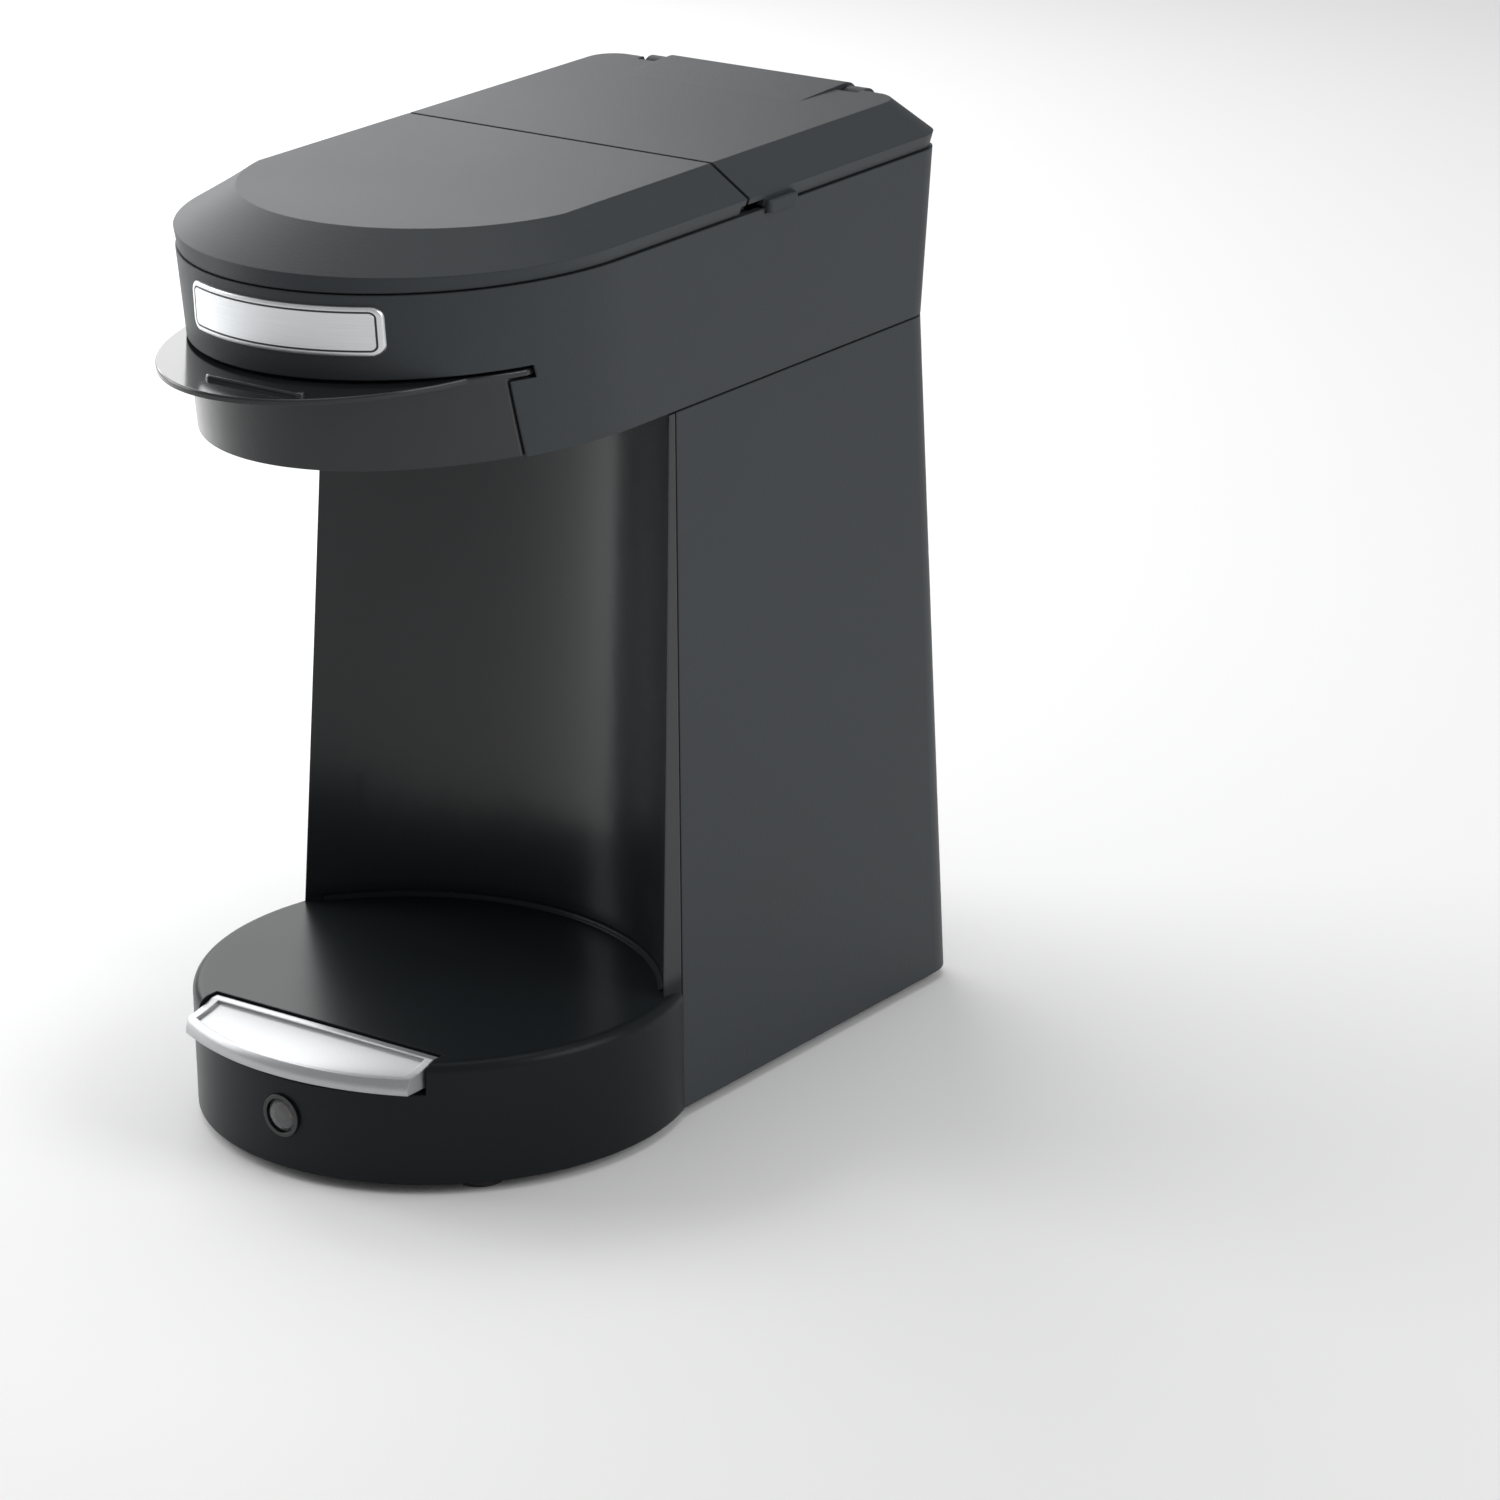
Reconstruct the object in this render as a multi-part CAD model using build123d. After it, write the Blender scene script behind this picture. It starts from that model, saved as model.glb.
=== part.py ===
from build123d import *
from math import sqrt
from typing import NamedTuple
import os

# Pod coffee maker, in millimetres: +Z up, -Y to the front, the origin under the middle, on the surface.


class Section(NamedTuple):
    """A plan outline at height z: half an ellipse in front, straight sides and rounded rear corners."""

    z: float
    half: float
    waist: float
    bow: float
    back: float
    corner: float


# Walls and clearances
WALL = 2.5
SEAT = 0.3
SHELL_GAP = 0.6
SCREW_PLAY = 0.05
PIN_PLAY = 0.05

# Base: feet, floor plate, skirt and platform
FOOT_HEIGHT = 3.4
FOOT_RADIUS = 7.0
FOOT_PLUG_RADIUS = 3.0
FOOT_X = 44.0
FOOT_FRONT_Y = -76.0
FOOT_REAR_Y = 98.0
PLATE_THICKNESS = 2.5
PLATE_PLAY = 0.4
SKIRT_Z = 3.0
PLATFORM_Z = 38.0
PLATFORM_EDGE = 3.2
BASE_RADIUS = 69.2
BASE_Y = -36.3

# Column: outline at its foot and top, and the round bay that the cup stands in
COLUMN_FOOT = Section(SKIRT_Z, 65.0, -20.0, 81.7, 119.6, 12.0)
COLUMN_TOP = Section(199.0, 60.2, -20.0, 81.7, 116.0, 10.0)
SEAM_FOOT_Y = -12.0
SEAM_TOP_Y = -4.0
BAY_RADIUS = 77.7
BAY_FOOT_Y = -64.1
BAY_TOP_Y = -55.7

# Head: outline at its foot and top, then the crown with its strip, chamfer and flat top
HEAD_FOOT = Section(COLUMN_TOP.z + SHELL_GAP, 60.3, -20.0, 81.7, 116.0, 10.0)
HEAD_TOP = Section(247.4, 63.7, -30.4, 71.5, 117.6, 10.0)
STRIP_FOOT = Section(247.9, 63.1, -30.8, 70.6, 117.0, 10.0)
STRIP_TOP = Section(251.9, 64.5, -34.0, 66.1, 117.6, 11.0)
CROWN_Z = 260.0
CROWN_HALF = 52.1
CROWN_SIDE_Y = -38.5
CROWN_FRONT_Y = -79.8
CROWN_BACK_Y = 113.0
CROWN_CORNER = 8.0
CROWN_WALL = 2.4
LID_SEAM_Y = 24.6
LID_SEAM_GAP = 1.2

# Lid hinge and lift tabs
HINGE_Y = 115.6
HINGE_Z = 255.4
KNUCKLE_RADIUS = 5.4
KNUCKLE_HALF = 31.0
LUG_RADIUS = 4.6
LUG_WIDTH = 6.4
LUG_GAP = 0.6
HINGE_PIN_RADIUS = 1.5
TAB_FRONT_Y = 33.0
TAB_LENGTH = 13.0
TAB_DEPTH = 1.4
TAB_RISE = 1.8
TAB_PROUD = 1.0
TAB_INWARD = 3.2
TAB_ROUND = 1.2
FINGER_NOTCH = 2.2
FINGER_NOTCH_FRONT = 2.5

# Brew basket: a drawer with a round lip, a front wall and a pod cup
LIP_HALF = 50.3
LIP_REACH = 70.0
LIP_THICKNESS = 1.6
LIP_Z = 222.2
LIP_REAR_HALF = 55.3
LIP_PLAY = 0.9
LIP_REAR_Y = -12.0
RUNNER_FRONT_Y = -49.0
LIP_Y = -51.0
BASKET_HALF = 52.7
BASKET_SIDE_GAP = 0.5
CUP_Y = -60.0
CUP_RADIUS = 35.5
CUP_WALL = 2.2
CUP_DEPTH = 18.0
NOZZLE_RADIUS = 6.0
NOZZLE_BORE = 3.2
NOZZLE_Z = 196.0
RIDGE_LENGTH = 32.5
RIDGE_WIDTH = 4.0
RIDGE_HEIGHT = 1.2
RIDGE_Y = -110.0
RIDGE_X = 7.0
SCREEN_THICKNESS = 0.8
SCREEN_PLAY = 0.4
RIB_HEIGHT = 2.0
SLOT_BELOW = 1.0
SLOT_ABOVE = 1.0

# Brewing parts over the basket
BREW_PLATE_THICKNESS = 2.5
BREW_PLATE_Z = 229.5
SPRAY_RADIUS = 29.0
SPRAY_HEIGHT = 3.2
STEM_RADIUS = 5.0
GASKET_INNER = 31.0
GASKET_OUTER = 37.0
GASKET_ABOVE_LIP = 0.5

# Water tank
TANK_LEFT_X = -50.0
TANK_RIGHT_X = 36.0
TANK_FRONT_Y = 32.0
TANK_BACK_Y = 104.0
TANK_FLOOR_Z = 176.0
TANK_RIM_Z = 244.0
TANK_RIM = 2.0
TANK_WALL = 2.0
TANK_CORNER = 14.0

# Hoses, heater and valve
HOSE_RADIUS = 5.0
HOSE_BORE = 3.6
BARB_RADIUS = 3.5
BARB_LENGTH = 9.0
CLAMP_WALL = 1.2
CLAMP_WIDTH = 3.0
HEATER_BARB_Y = 81.5
HEATER_HALF = 32.0
HEATER_FRONT_Y = 34.0
HEATER_ENDS_Y = 80.0
HEATER_BEND = 24.0
HEATER_WIDTH = 19.0
HEATER_HEIGHT = 25.0
HEATER_Z = 24.0
BRACKET_THICKNESS = 1.2
VALVE_Z = 132.0
VALVE_RADIUS = 7.5
VALVE_HALF = 8.0
VALVE_CHAMBER = 5.0
VALVE_CHAMBER_HALF = 6.0
VALVE_PORT = 2.2
BALL_RADIUS = 3.5
STRAINER_RADIUS = 7.0
STRAINER_HEIGHT = 9.0
WATER_TUBE_RADIUS = 4.6
WATER_TUBE_RISE = 5.0
ELEMENT_RADIUS = 3.2
ELEMENT_DROP = 6.5
PRESS_PLAY = 0.03
THERMOSTAT_RADIUS = 8.0
THERMOSTAT_RIM = 3.0
THERMOSTAT_HEIGHT = 6.0
BLADE_X = 4.0
BLADE_LENGTH = 8.0
FUSE_X = 10.0
FUSE_RADIUS = 2.0
FUSE_HALF = 6.0
FUSE_LEAD = 2.5

# Power button and indicator
BUTTON_HALF = 39.2
BUTTON_REAR_Y = -86.0
BUTTON_PROUD = 2.8
BUTTON_RADIUS = 90.0
BUTTON_TOP_Z = 37.4
BUTTON_FOOT_Z = 30.8
BUTTON_NOSE_RUN = 6.5
BUTTON_NOSE_DROP = 6.0
BUTTON_SCOOP_RADIUS = 50.0
BUTTON_SCOOP_Y = -104.0
BUTTON_SCOOP_Z = 34.8
BUTTON_DISH_DEPTH = 0.8
BUTTON_CAVITY_Z = 32.8
BUTTON_GAP = 0.8
BUTTON_WALL = 2.2
BUTTON_RIM = 2.6
BUTTON_TRAVEL = 1.5
LEDGE_THICKNESS = 2.2
PLUNGER_X = 18.0
PLUNGER_Y = -93.0
PLUNGER_RADIUS = 2.6
PLUNGER_Z = 24.2
SPRING_X = -18.0
SPRING_RADIUS = 3.2
SPRING_WIRE = 0.35
SPRING_TURNS = 2
INDICATOR_Z = 18.2
BEZEL_RADIUS = 6.0
SLEEVE_WALL = 0.6
LENS_RADIUS = 4.9
BEZEL_PROUD = 0.8
LENS_DEPTH = 5.0

# Control board, snap switch and lamp
BOARD_HALF = 32.0
BOARD_FRONT_Y = -93.0
BOARD_REAR_Y = -66.0
BOARD_THICKNESS = 1.6
BOARD_LIFT = 3.0
RELAY_HEIGHT = 11.4
SWITCH_HALF = 10.0
SWITCH_DEPTH = 7.0
LEVER_THICKNESS = 0.6
LAMP_RADIUS = 2.5
LAMP_FLANGE = 3.0
LAMP_LEG = 0.6
LAMP_LEG_X = 1.3
LAMP_REAR_Y = -94.0

# Badge
BADGE_X = 4.5
BADGE_WIDTH = 59.5
BADGE_HEIGHT = 13.2
BADGE_Z = 238.0
BADGE_THICKNESS = 0.8
BADGE_CORNER = 3.0

# Screws and bosses
SCREW_RADIUS = 1.5
SCREW_HEAD_RADIUS = 3.0
SCREW_HEAD = 2.0
SCREW_LENGTH = 12.0
BOSS_RADIUS = 4.5
BASE_BOSS_HEIGHT = 22.0
NECK_BOSS_HEIGHT = 25.0
BASE_BOSSES = [(-48.0, -50.0), (48.0, -50.0), (-57.5, 60.0), (57.5, 60.0)]
NECK_BOSSES = [(-30.0, 21.0), (30.0, 21.0), (-54.0, 98.0), (54.0, 98.0)]

# Cord inlet
INLET_X = 0.0
INLET_Z = 20.0
INLET_BORE = 3.6
INLET_BODY = 5.6
INLET_FLANGE = 8.5
INLET_LIP = 1.2
INLET_CLIP = 2.0
INLET_LENGTH = 13.2

REACH = 150.0
FRONT_Y = BASE_Y - BASE_RADIUS
PLATE_Z = FOOT_HEIGHT
PLATE_TOP = PLATE_Z + PLATE_THICKNESS
BOARD_TOP = PLATE_TOP + BOARD_LIFT + BOARD_THICKNESS
LIP_TOP = LIP_Z + LIP_THICKNESS
LEDGE_TOP = BUTTON_FOOT_Z - BUTTON_TRAVEL - SEAT
BRACKET_Z = HEATER_Z - HEATER_HEIGHT / 2 - BRACKET_THICKNESS
BRACKET_YS = (HEATER_FRONT_Y + 18.0, HEATER_ENDS_Y - 6.0)
UP = (Align.CENTER, Align.CENTER, Align.MIN)


def level(low, high, z):
    """The section at height z on the straight taper from low to high."""
    share = (z - low.z) / (high.z - low.z)
    return Section(*(a + share * (b - a) for a, b in zip(low, high)))


def plan(section, inset=0.0):
    """Face of a section, drawn in by the inset."""
    half = section.half - inset
    bow = section.bow - inset
    back = section.back - inset
    corner = max(section.corner - inset, 1.0)
    edges = [
        EllipticalCenterArc((0, section.waist), half, bow, start_angle=180, arc_size=180),
        Line((half, section.waist), (half, back - corner)),
        CenterArc((half - corner, back - corner), corner, 0, 90),
        Line((half - corner, back), (corner - half, back)),
        CenterArc((corner - half, back - corner), corner, 90, 90),
        Line((-half, back - corner), (-half, section.waist)),
    ]
    return Pos(0, 0, section.z) * make_face(edges)


def block(low, high, z0, z1, inset=0.0):
    """Solid of the taper from low to high between two heights, drawn in by the inset."""
    return loft([plan(level(low, high, z0), inset), plan(level(low, high, z1), inset)], ruled=True)


def cylinder(radius, z0, z1, x=0.0, y=0.0):
    """Upright cylinder between two heights."""
    return Pos(x, y, z0) * Cylinder(radius, z1 - z0, align=UP)


def slab(x0, x1, y0, y1, z0, z1):
    """Box between two corners."""
    middle = ((x0 + x1) / 2, (y0 + y1) / 2, (z0 + z1) / 2)
    return Pos(*middle) * Box(x1 - x0, y1 - y0, z1 - z0)


def along_y(radius, y0, y1, x, z):
    """Cylinder along Y."""
    return Pos(x, (y0 + y1) / 2, z) * Rot(90, 0, 0) * Cylinder(radius, y1 - y0)


def along_x(radius, x0, x1, y, z):
    """Cylinder along X."""
    return Pos((x0 + x1) / 2, y, z) * Rot(0, 90, 0) * Cylinder(radius, x1 - x0)


def both_sides(solid):
    """The solid and its mirror image across the middle plane."""
    return solid + mirror(solid, Plane.YZ)


def column(z0, z1, inset=0.0):
    return block(COLUMN_FOOT, COLUMN_TOP, z0, z1, inset)


def head(z0, z1, inset=0.0):
    return block(HEAD_FOOT, HEAD_TOP, z0, z1, inset)


def seam_y(z):
    """Where the side seam between the front frame and the rear shell stands at height z."""
    return SEAM_FOOT_Y + (SEAM_TOP_Y - SEAM_FOOT_Y) * (z - PLATFORM_Z) / (COLUMN_TOP.z - PLATFORM_Z)


def bay_y(z):
    """Centre of the round bay wall, which leans back as it rises."""
    return BAY_FOOT_Y + (BAY_TOP_Y - BAY_FOOT_Y) * (z - PLATFORM_Z) / (COLUMN_TOP.z - PLATFORM_Z)


def bay(z0, z1, grow=0.0):
    """Leaning round space in front of the column."""
    return loft([Pos(0, bay_y(z), z) * Circle(BAY_RADIUS + grow) for z in (z0, z1)], ruled=True)


def side_of_seam(far_y, shift):
    """All that lies between the side seam, moved by shift, and far_y."""
    low, high = -10.0, COLUMN_TOP.z + 20.0
    points = [(far_y, low), (seam_y(low) + shift, low), (seam_y(high) + shift, high), (far_y, high)]
    return extrude(Plane.YZ * make_face(Polyline(points, close=True)), REACH, both=True)


def front_frame():
    """Bay wall, side strips, platform and round skirt, moulded in one."""
    front = side_of_seam(-REACH, 0.0)
    inside = column(SKIRT_Z, COLUMN_TOP.z, WALL + SEAT)
    disc = cylinder(BASE_RADIUS, SKIRT_Z, PLATFORM_Z, y=BASE_Y)
    disc = fillet(disc.edges().group_by(Axis.Z)[-1], PLATFORM_EDGE)
    under = cylinder(BASE_RADIUS - WALL, SKIRT_Z - 1, PLATFORM_Z - WALL, y=BASE_Y)
    skirt = disc & front
    plate = disc & cylinder(BAY_RADIUS + WALL, PLATFORM_Z - WALL, PLATFORM_Z, y=BAY_FOOT_Y) & inside
    frame = (skirt - under) + plate
    side = (column(SKIRT_Z, COLUMN_TOP.z) & front) - column(SKIRT_Z - 1, COLUMN_TOP.z + 1, WALL)
    rise = bay(PLATFORM_Z - WALL, COLUMN_TOP.z, WALL)
    wall = (rise & inside) + (rise & column(PLATFORM_Z - WALL, COLUMN_TOP.z) & front)
    hollow = bay(PLATFORM_Z, COLUMN_TOP.z + 5)
    frame = frame + (side - under) + (wall - hollow)
    frame = frame - hollow
    for x, y in BASE_BOSSES[:2]:
        frame += cylinder(BOSS_RADIUS, PLATE_TOP, PLATFORM_Z - WALL / 2, x, y)
        frame -= screw_hole(x, y, PLATE_TOP - 1)
    for x, y in NECK_BOSSES[:2]:
        boss = cylinder(BOSS_RADIUS, COLUMN_TOP.z - NECK_BOSS_HEIGHT, COLUMN_TOP.z, x, y)
        frame += boss - bay(COLUMN_TOP.z - 30, COLUMN_TOP.z + 5, WALL / 2)
        frame -= screw_hole(x, y, COLUMN_TOP.z - SCREW_LENGTH)
    frame += button_well(BUTTON_HALF + BUTTON_GAP + LEDGE_THICKNESS, LEDGE_TOP - LEDGE_THICKNESS,
                         BUTTON_REAR_Y + BUTTON_GAP + LEDGE_THICKNESS, PLATFORM_Z - WALL / 2)
    frame -= slab(-BUTTON_HALF - BUTTON_GAP, BUTTON_HALF + BUTTON_GAP, -REACH,
                  BUTTON_REAR_Y + BUTTON_GAP, LEDGE_TOP, PLATFORM_Z + 5)
    frame -= cylinder(PLUNGER_RADIUS + 0.4, 20, 40, PLUNGER_X, PLUNGER_Y)
    bezel_hole = LENS_RADIUS + SLEEVE_WALL + SEAT
    return frame - along_y(bezel_hole, -REACH, FRONT_Y + LENS_DEPTH + 3, 0, INDICATOR_Z)


def button_well(half, z0, rear_y, z1):
    """Pocket block for the button, inside the round skirt."""
    well = slab(-half, half, -REACH, rear_y, z0, z1)
    return well & cylinder(BASE_RADIUS - WALL / 2, z0, z1, y=BASE_Y)


def screw_hole(x, y, z):
    """Blind hole for a screw, from height z up."""
    return cylinder(SCREW_RADIUS + SCREW_PLAY, z, z + SCREW_LENGTH + 1, x, y)


def rear_shell():
    """Column sides and back, with bosses for the floor plate and the head."""
    shell = column(SKIRT_Z, COLUMN_TOP.z) - column(SKIRT_Z - 1, COLUMN_TOP.z + 1, WALL)
    shell = shell & side_of_seam(REACH, SHELL_GAP)
    for x, y in BASE_BOSSES[2:]:
        shell += cylinder(BOSS_RADIUS, PLATE_TOP, PLATE_TOP + BASE_BOSS_HEIGHT, x, y)
        shell -= screw_hole(x, y, PLATE_TOP - 1)
    for x, y in NECK_BOSSES[2:]:
        shell += cylinder(BOSS_RADIUS, COLUMN_TOP.z - NECK_BOSS_HEIGHT, COLUMN_TOP.z, x, y)
        shell -= screw_hole(x, y, COLUMN_TOP.z - SCREW_LENGTH)
    return shell - along_y(INLET_BODY + SEAT / 2, 100, REACH, INLET_X, INLET_Z)


def floor_outline(z0, z1, inset):
    """Inside of the skirt and the rear shell together, between two heights."""
    disc = cylinder(BASE_RADIUS - inset, z0, z1, y=BASE_Y)
    return disc + (column(z0, z1, inset) & slab(-REACH, REACH, SEAM_FOOT_Y - 8, REACH, z0, z1))


def base_plate():
    """Floor plate with holes for the feet and screws, heater posts and board posts."""
    plate = floor_outline(PLATE_Z, PLATE_TOP, WALL + PLATE_PLAY)
    for x, y in foot_places():
        plate -= cylinder(FOOT_PLUG_RADIUS, 0, 10, x, y)
    for x, y in BASE_BOSSES:
        plate -= cylinder(SCREW_RADIUS + SEAT, 0, 10, x, y)
    for x in (-HEATER_HALF, HEATER_HALF):
        for y in BRACKET_YS:
            plate += cylinder(BOSS_RADIUS, PLATE_TOP, BRACKET_Z, x, y)
    for x, y in board_posts():
        plate += cylinder(BOSS_RADIUS - 1, PLATE_TOP, PLATE_TOP + BOARD_LIFT, x, y)
    return plate


def foot_places():
    return [(x, y) for x in (-FOOT_X, FOOT_X) for y in (FOOT_FRONT_Y, FOOT_REAR_Y)]


def rubber_feet():
    """Four rubber feet with plugs pressed through the floor plate."""
    feet = []
    for x, y in foot_places():
        foot = cylinder(FOOT_RADIUS, 0, FOOT_HEIGHT, x, y)
        foot = fillet(foot.edges().group_by(Axis.Z)[0], 1.0)
        feet.append(foot + cylinder(FOOT_PLUG_RADIUS, FOOT_HEIGHT, PLATE_TOP + 1, x, y))
    return Compound(children=feet)


def screw(x, y, seat_z, up):
    """Pan head screw with a cross recess; its shank points up or down from its seat."""
    head_part = Cylinder(SCREW_HEAD_RADIUS, SCREW_HEAD, align=(Align.CENTER, Align.CENTER, Align.MAX))
    head_part = fillet(head_part.edges().group_by(Axis.Z)[0], 0.7)
    shank = Cylinder(SCREW_RADIUS, SCREW_LENGTH, align=UP)
    recess = Pos(0, 0, -SCREW_HEAD) * (Box(3.4, 0.8, 1.6) + Box(0.8, 3.4, 1.6))
    turn = Rot(0, 0, 0) if up else Rot(180, 0, 0)
    return Pos(x, y, seat_z) * turn * (head_part + shank - recess)


def base_screws():
    return Compound(children=[screw(x, y, PLATE_Z, True) for x, y in BASE_BOSSES])


def neck_screws():
    return Compound(children=[screw(x, y, head_floor_top(), False) for x, y in NECK_BOSSES])


def head_floor_top():
    return COLUMN_TOP.z + SEAT + WALL


def upper_housing():
    """Head wall, open above and below, with the basket slot, runners, ledges and hinge lugs."""
    z0, z1 = HEAD_FOOT.z, HEAD_TOP.z
    inner = head(z0 - 1, z1 + 1, WALL)
    wall = head(z0, z1) - inner
    slot = LIP_REAR_HALF + LIP_PLAY
    wall -= slab(-slot, slot, -REACH, RUNNER_FRONT_Y, LIP_Z - SLOT_BELOW, LIP_TOP + SLOT_ABOVE)
    mouth = BASKET_HALF + BASKET_SIDE_GAP
    wall -= slab(-mouth, mouth, -REACH, RUNNER_FRONT_Y, z0 - 1, LIP_Z)
    inside = head(z0, z1, WALL / 2)
    runner = slab(LIP_REAR_HALF - 2.5, 70, RUNNER_FRONT_Y, LIP_REAR_Y + 4, LIP_Z - 3, BREW_PLATE_Z)
    runner -= slab(40, LIP_REAR_HALF + 0.4, -REACH, REACH, LIP_Z - SEAT, LIP_TOP + 0.4)
    wall += both_sides(runner & inside)
    ledge = slab(HEAD_TOP.half - WALL - 4, 70, 40, 95, TANK_RIM_Z - 2.5, TANK_RIM_Z)
    wall += both_sides(ledge & inside)
    wall += both_sides(hinge_lug())
    tab = slab(HEAD_TOP.half - 3, 70, TAB_FRONT_Y - SEAT, TAB_FRONT_Y + TAB_LENGTH + SEAT,
               z1 - TAB_DEPTH, z1 + 1)
    wall -= both_sides(tab)
    return wall - along_x(HINGE_PIN_RADIUS + PIN_PLAY, -REACH, REACH, HINGE_Y, HINGE_Z)


def hinge_lug():
    """Knuckle on the head's rear wall that holds the hinge pin, right side."""
    x0 = KNUCKLE_HALF + LUG_GAP
    x1 = x0 + LUG_WIDTH
    web = slab(x0, x1, HEAD_TOP.back - WALL, HEAD_TOP.back - 0.2, HEAD_TOP.z - 8, HINGE_Z)
    return along_x(LUG_RADIUS, x0, x1, HINGE_Y, HINGE_Z) + web


def head_floor():
    """Plate under the head, open for the nozzle's path, the tank and the riser hose."""
    z0, z1 = COLUMN_TOP.z + SEAT, head_floor_top()
    plate = head(z0, z1, WALL + PLATE_PLAY)
    plate -= slab(-NOZZLE_RADIUS - 2, NOZZLE_RADIUS + 2, -REACH, CUP_Y, z0 - 1, z1 + 1)
    plate -= cylinder(NOZZLE_RADIUS + 2, z0 - 1, z1 + 1, y=CUP_Y)
    plate -= tank_shape(z0 - 1, z1 + 1, -1.0)
    plate -= cylinder(HOSE_RADIUS + 1, z0 - 1, z1 + 1, *riser_points()[3][:2])
    for x, y in NECK_BOSSES:
        plate -= cylinder(SCREW_RADIUS + SEAT, z0 - 1, z1 + 1, x, y)
    return plate


def crown_face(inset):
    """Flat top outline: a bowed front between straight sides, drawn in by the inset."""
    half = CROWN_HALF - inset
    back = CROWN_BACK_Y - inset
    corner = CROWN_CORNER
    edges = [
        ThreePointArc((-half, CROWN_SIDE_Y), (0, CROWN_FRONT_Y + inset), (half, CROWN_SIDE_Y)),
        Line((half, CROWN_SIDE_Y), (half, back - corner)),
        CenterArc((half - corner, back - corner), corner, 0, 90),
        Line((half - corner, back), (corner - half, back)),
        CenterArc((corner - half, back - corner), corner, 90, 90),
        Line((-half, back - corner), (-half, CROWN_SIDE_Y)),
    ]
    return Pos(0, 0, CROWN_Z - inset) * make_face(edges)


def crown(inset=0.0):
    """Strip, chamfer and flat top as one solid, drawn in by the inset."""
    strip = block(STRIP_FOOT, STRIP_TOP, STRIP_FOOT.z, STRIP_TOP.z, inset)
    chamfer = loft([plan(STRIP_TOP, inset), crown_face(inset)], ruled=True)
    return strip + chamfer


def top_cover():
    """Fixed front part of the crown, with a rear rib and an inner lip that drops into the head."""
    rear = LID_SEAM_Y - LID_SEAM_GAP / 2
    solid = crown()
    shell = solid - crown(CROWN_WALL)
    rib = solid & slab(-REACH, REACH, rear - CROWN_WALL, rear, 200, 300)
    cover = (shell & slab(-REACH, REACH, -REACH, rear, 200, 300)) + rib
    cover -= both_sides(finger_notch())
    z0, z1 = HEAD_TOP.z - 3, STRIP_FOOT.z + 1
    lip = head(z0, z1, WALL + SEAT) - head(z0 - 1, z1 + 1, WALL + SEAT + 1.6)
    return cover + (lip & slab(-REACH, REACH, -REACH, rear, 200, 300))


def reservoir_lid():
    """Rear part of the crown, with a front rib, a hinge knuckle and two lift tabs."""
    front = LID_SEAM_Y + LID_SEAM_GAP / 2
    solid = crown()
    shell = solid - crown(CROWN_WALL)
    rib = solid & slab(-REACH, REACH, front, front + CROWN_WALL, 200, 300)
    lid = (shell & slab(-REACH, REACH, front, REACH, 200, 300)) + rib
    lug_space = slab(KNUCKLE_HALF, KNUCKLE_HALF + LUG_WIDTH + 2 * LUG_GAP,
                     HINGE_Y - LUG_RADIUS - 1, REACH, 200, 300)
    lid -= both_sides(lug_space)
    knuckle = along_x(KNUCKLE_RADIUS, -KNUCKLE_HALF, KNUCKLE_HALF, HINGE_Y, HINGE_Z)
    top = HINGE_Z + KNUCKLE_RADIUS
    ramp = [(HINGE_Y - 22, CROWN_Z - 1), (HINGE_Y - 22, CROWN_Z), (HINGE_Y, top), (HINGE_Y, CROWN_Z - 2)]
    bridge = extrude(Plane.YZ * make_face(Polyline(ramp, close=True)), KNUCKLE_HALF, both=True)
    lid += knuckle + bridge
    lid -= both_sides(finger_notch())
    lid += both_sides(lift_tab())
    return lid - along_x(HINGE_PIN_RADIUS + PIN_PLAY, -REACH, REACH, HINGE_Y, HINGE_Z)


def lift_tab():
    """Finger tab at the lid's edge, right side, in a notch of the head's rim."""
    x1 = STRIP_TOP.half + TAB_PROUD
    z0 = HEAD_TOP.z - TAB_DEPTH + SEAT
    z1 = STRIP_FOOT.z + TAB_RISE
    tab = slab(x1 - TAB_INWARD, x1, TAB_FRONT_Y, TAB_FRONT_Y + TAB_LENGTH, z0, z1)
    upright = tab.edges().filter_by(Axis.Z).group_by(Axis.X)[-1]
    tab = fillet(upright, TAB_ROUND)
    outer_top = tab.edges().group_by(Axis.Z)[-1].filter_by(Axis.Y).sort_by(Axis.X)[-1]
    return fillet(outer_top, TAB_ROUND / 2)


def finger_notch():
    """Gap in the strip's foot at the lid seam, up to the tab, right side."""
    x0 = STRIP_FOOT.half - WALL
    return slab(x0, REACH, LID_SEAM_Y - FINGER_NOTCH_FRONT, TAB_FRONT_Y - SEAT,
                STRIP_FOOT.z - 1, STRIP_FOOT.z + FINGER_NOTCH)


def hinge_pin():
    reach = KNUCKLE_HALF + LUG_GAP + LUG_WIDTH - 0.4
    return along_x(HINGE_PIN_RADIUS, -reach, reach, HINGE_Y, HINGE_Z)


def badge_plate():
    """Blank plate bent round the head's front."""
    z0, z1 = BADGE_Z - BADGE_HEIGHT / 2, BADGE_Z + BADGE_HEIGHT / 2
    skin = head(z0, z1, -BADGE_THICKNESS) - head(z0 - 1, z1 + 1)
    face = Plane.XZ * Pos(BADGE_X, BADGE_Z) * RectangleRounded(BADGE_WIDTH, BADGE_HEIGHT, BADGE_CORNER)
    return skin & extrude(face, REACH)


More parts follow.
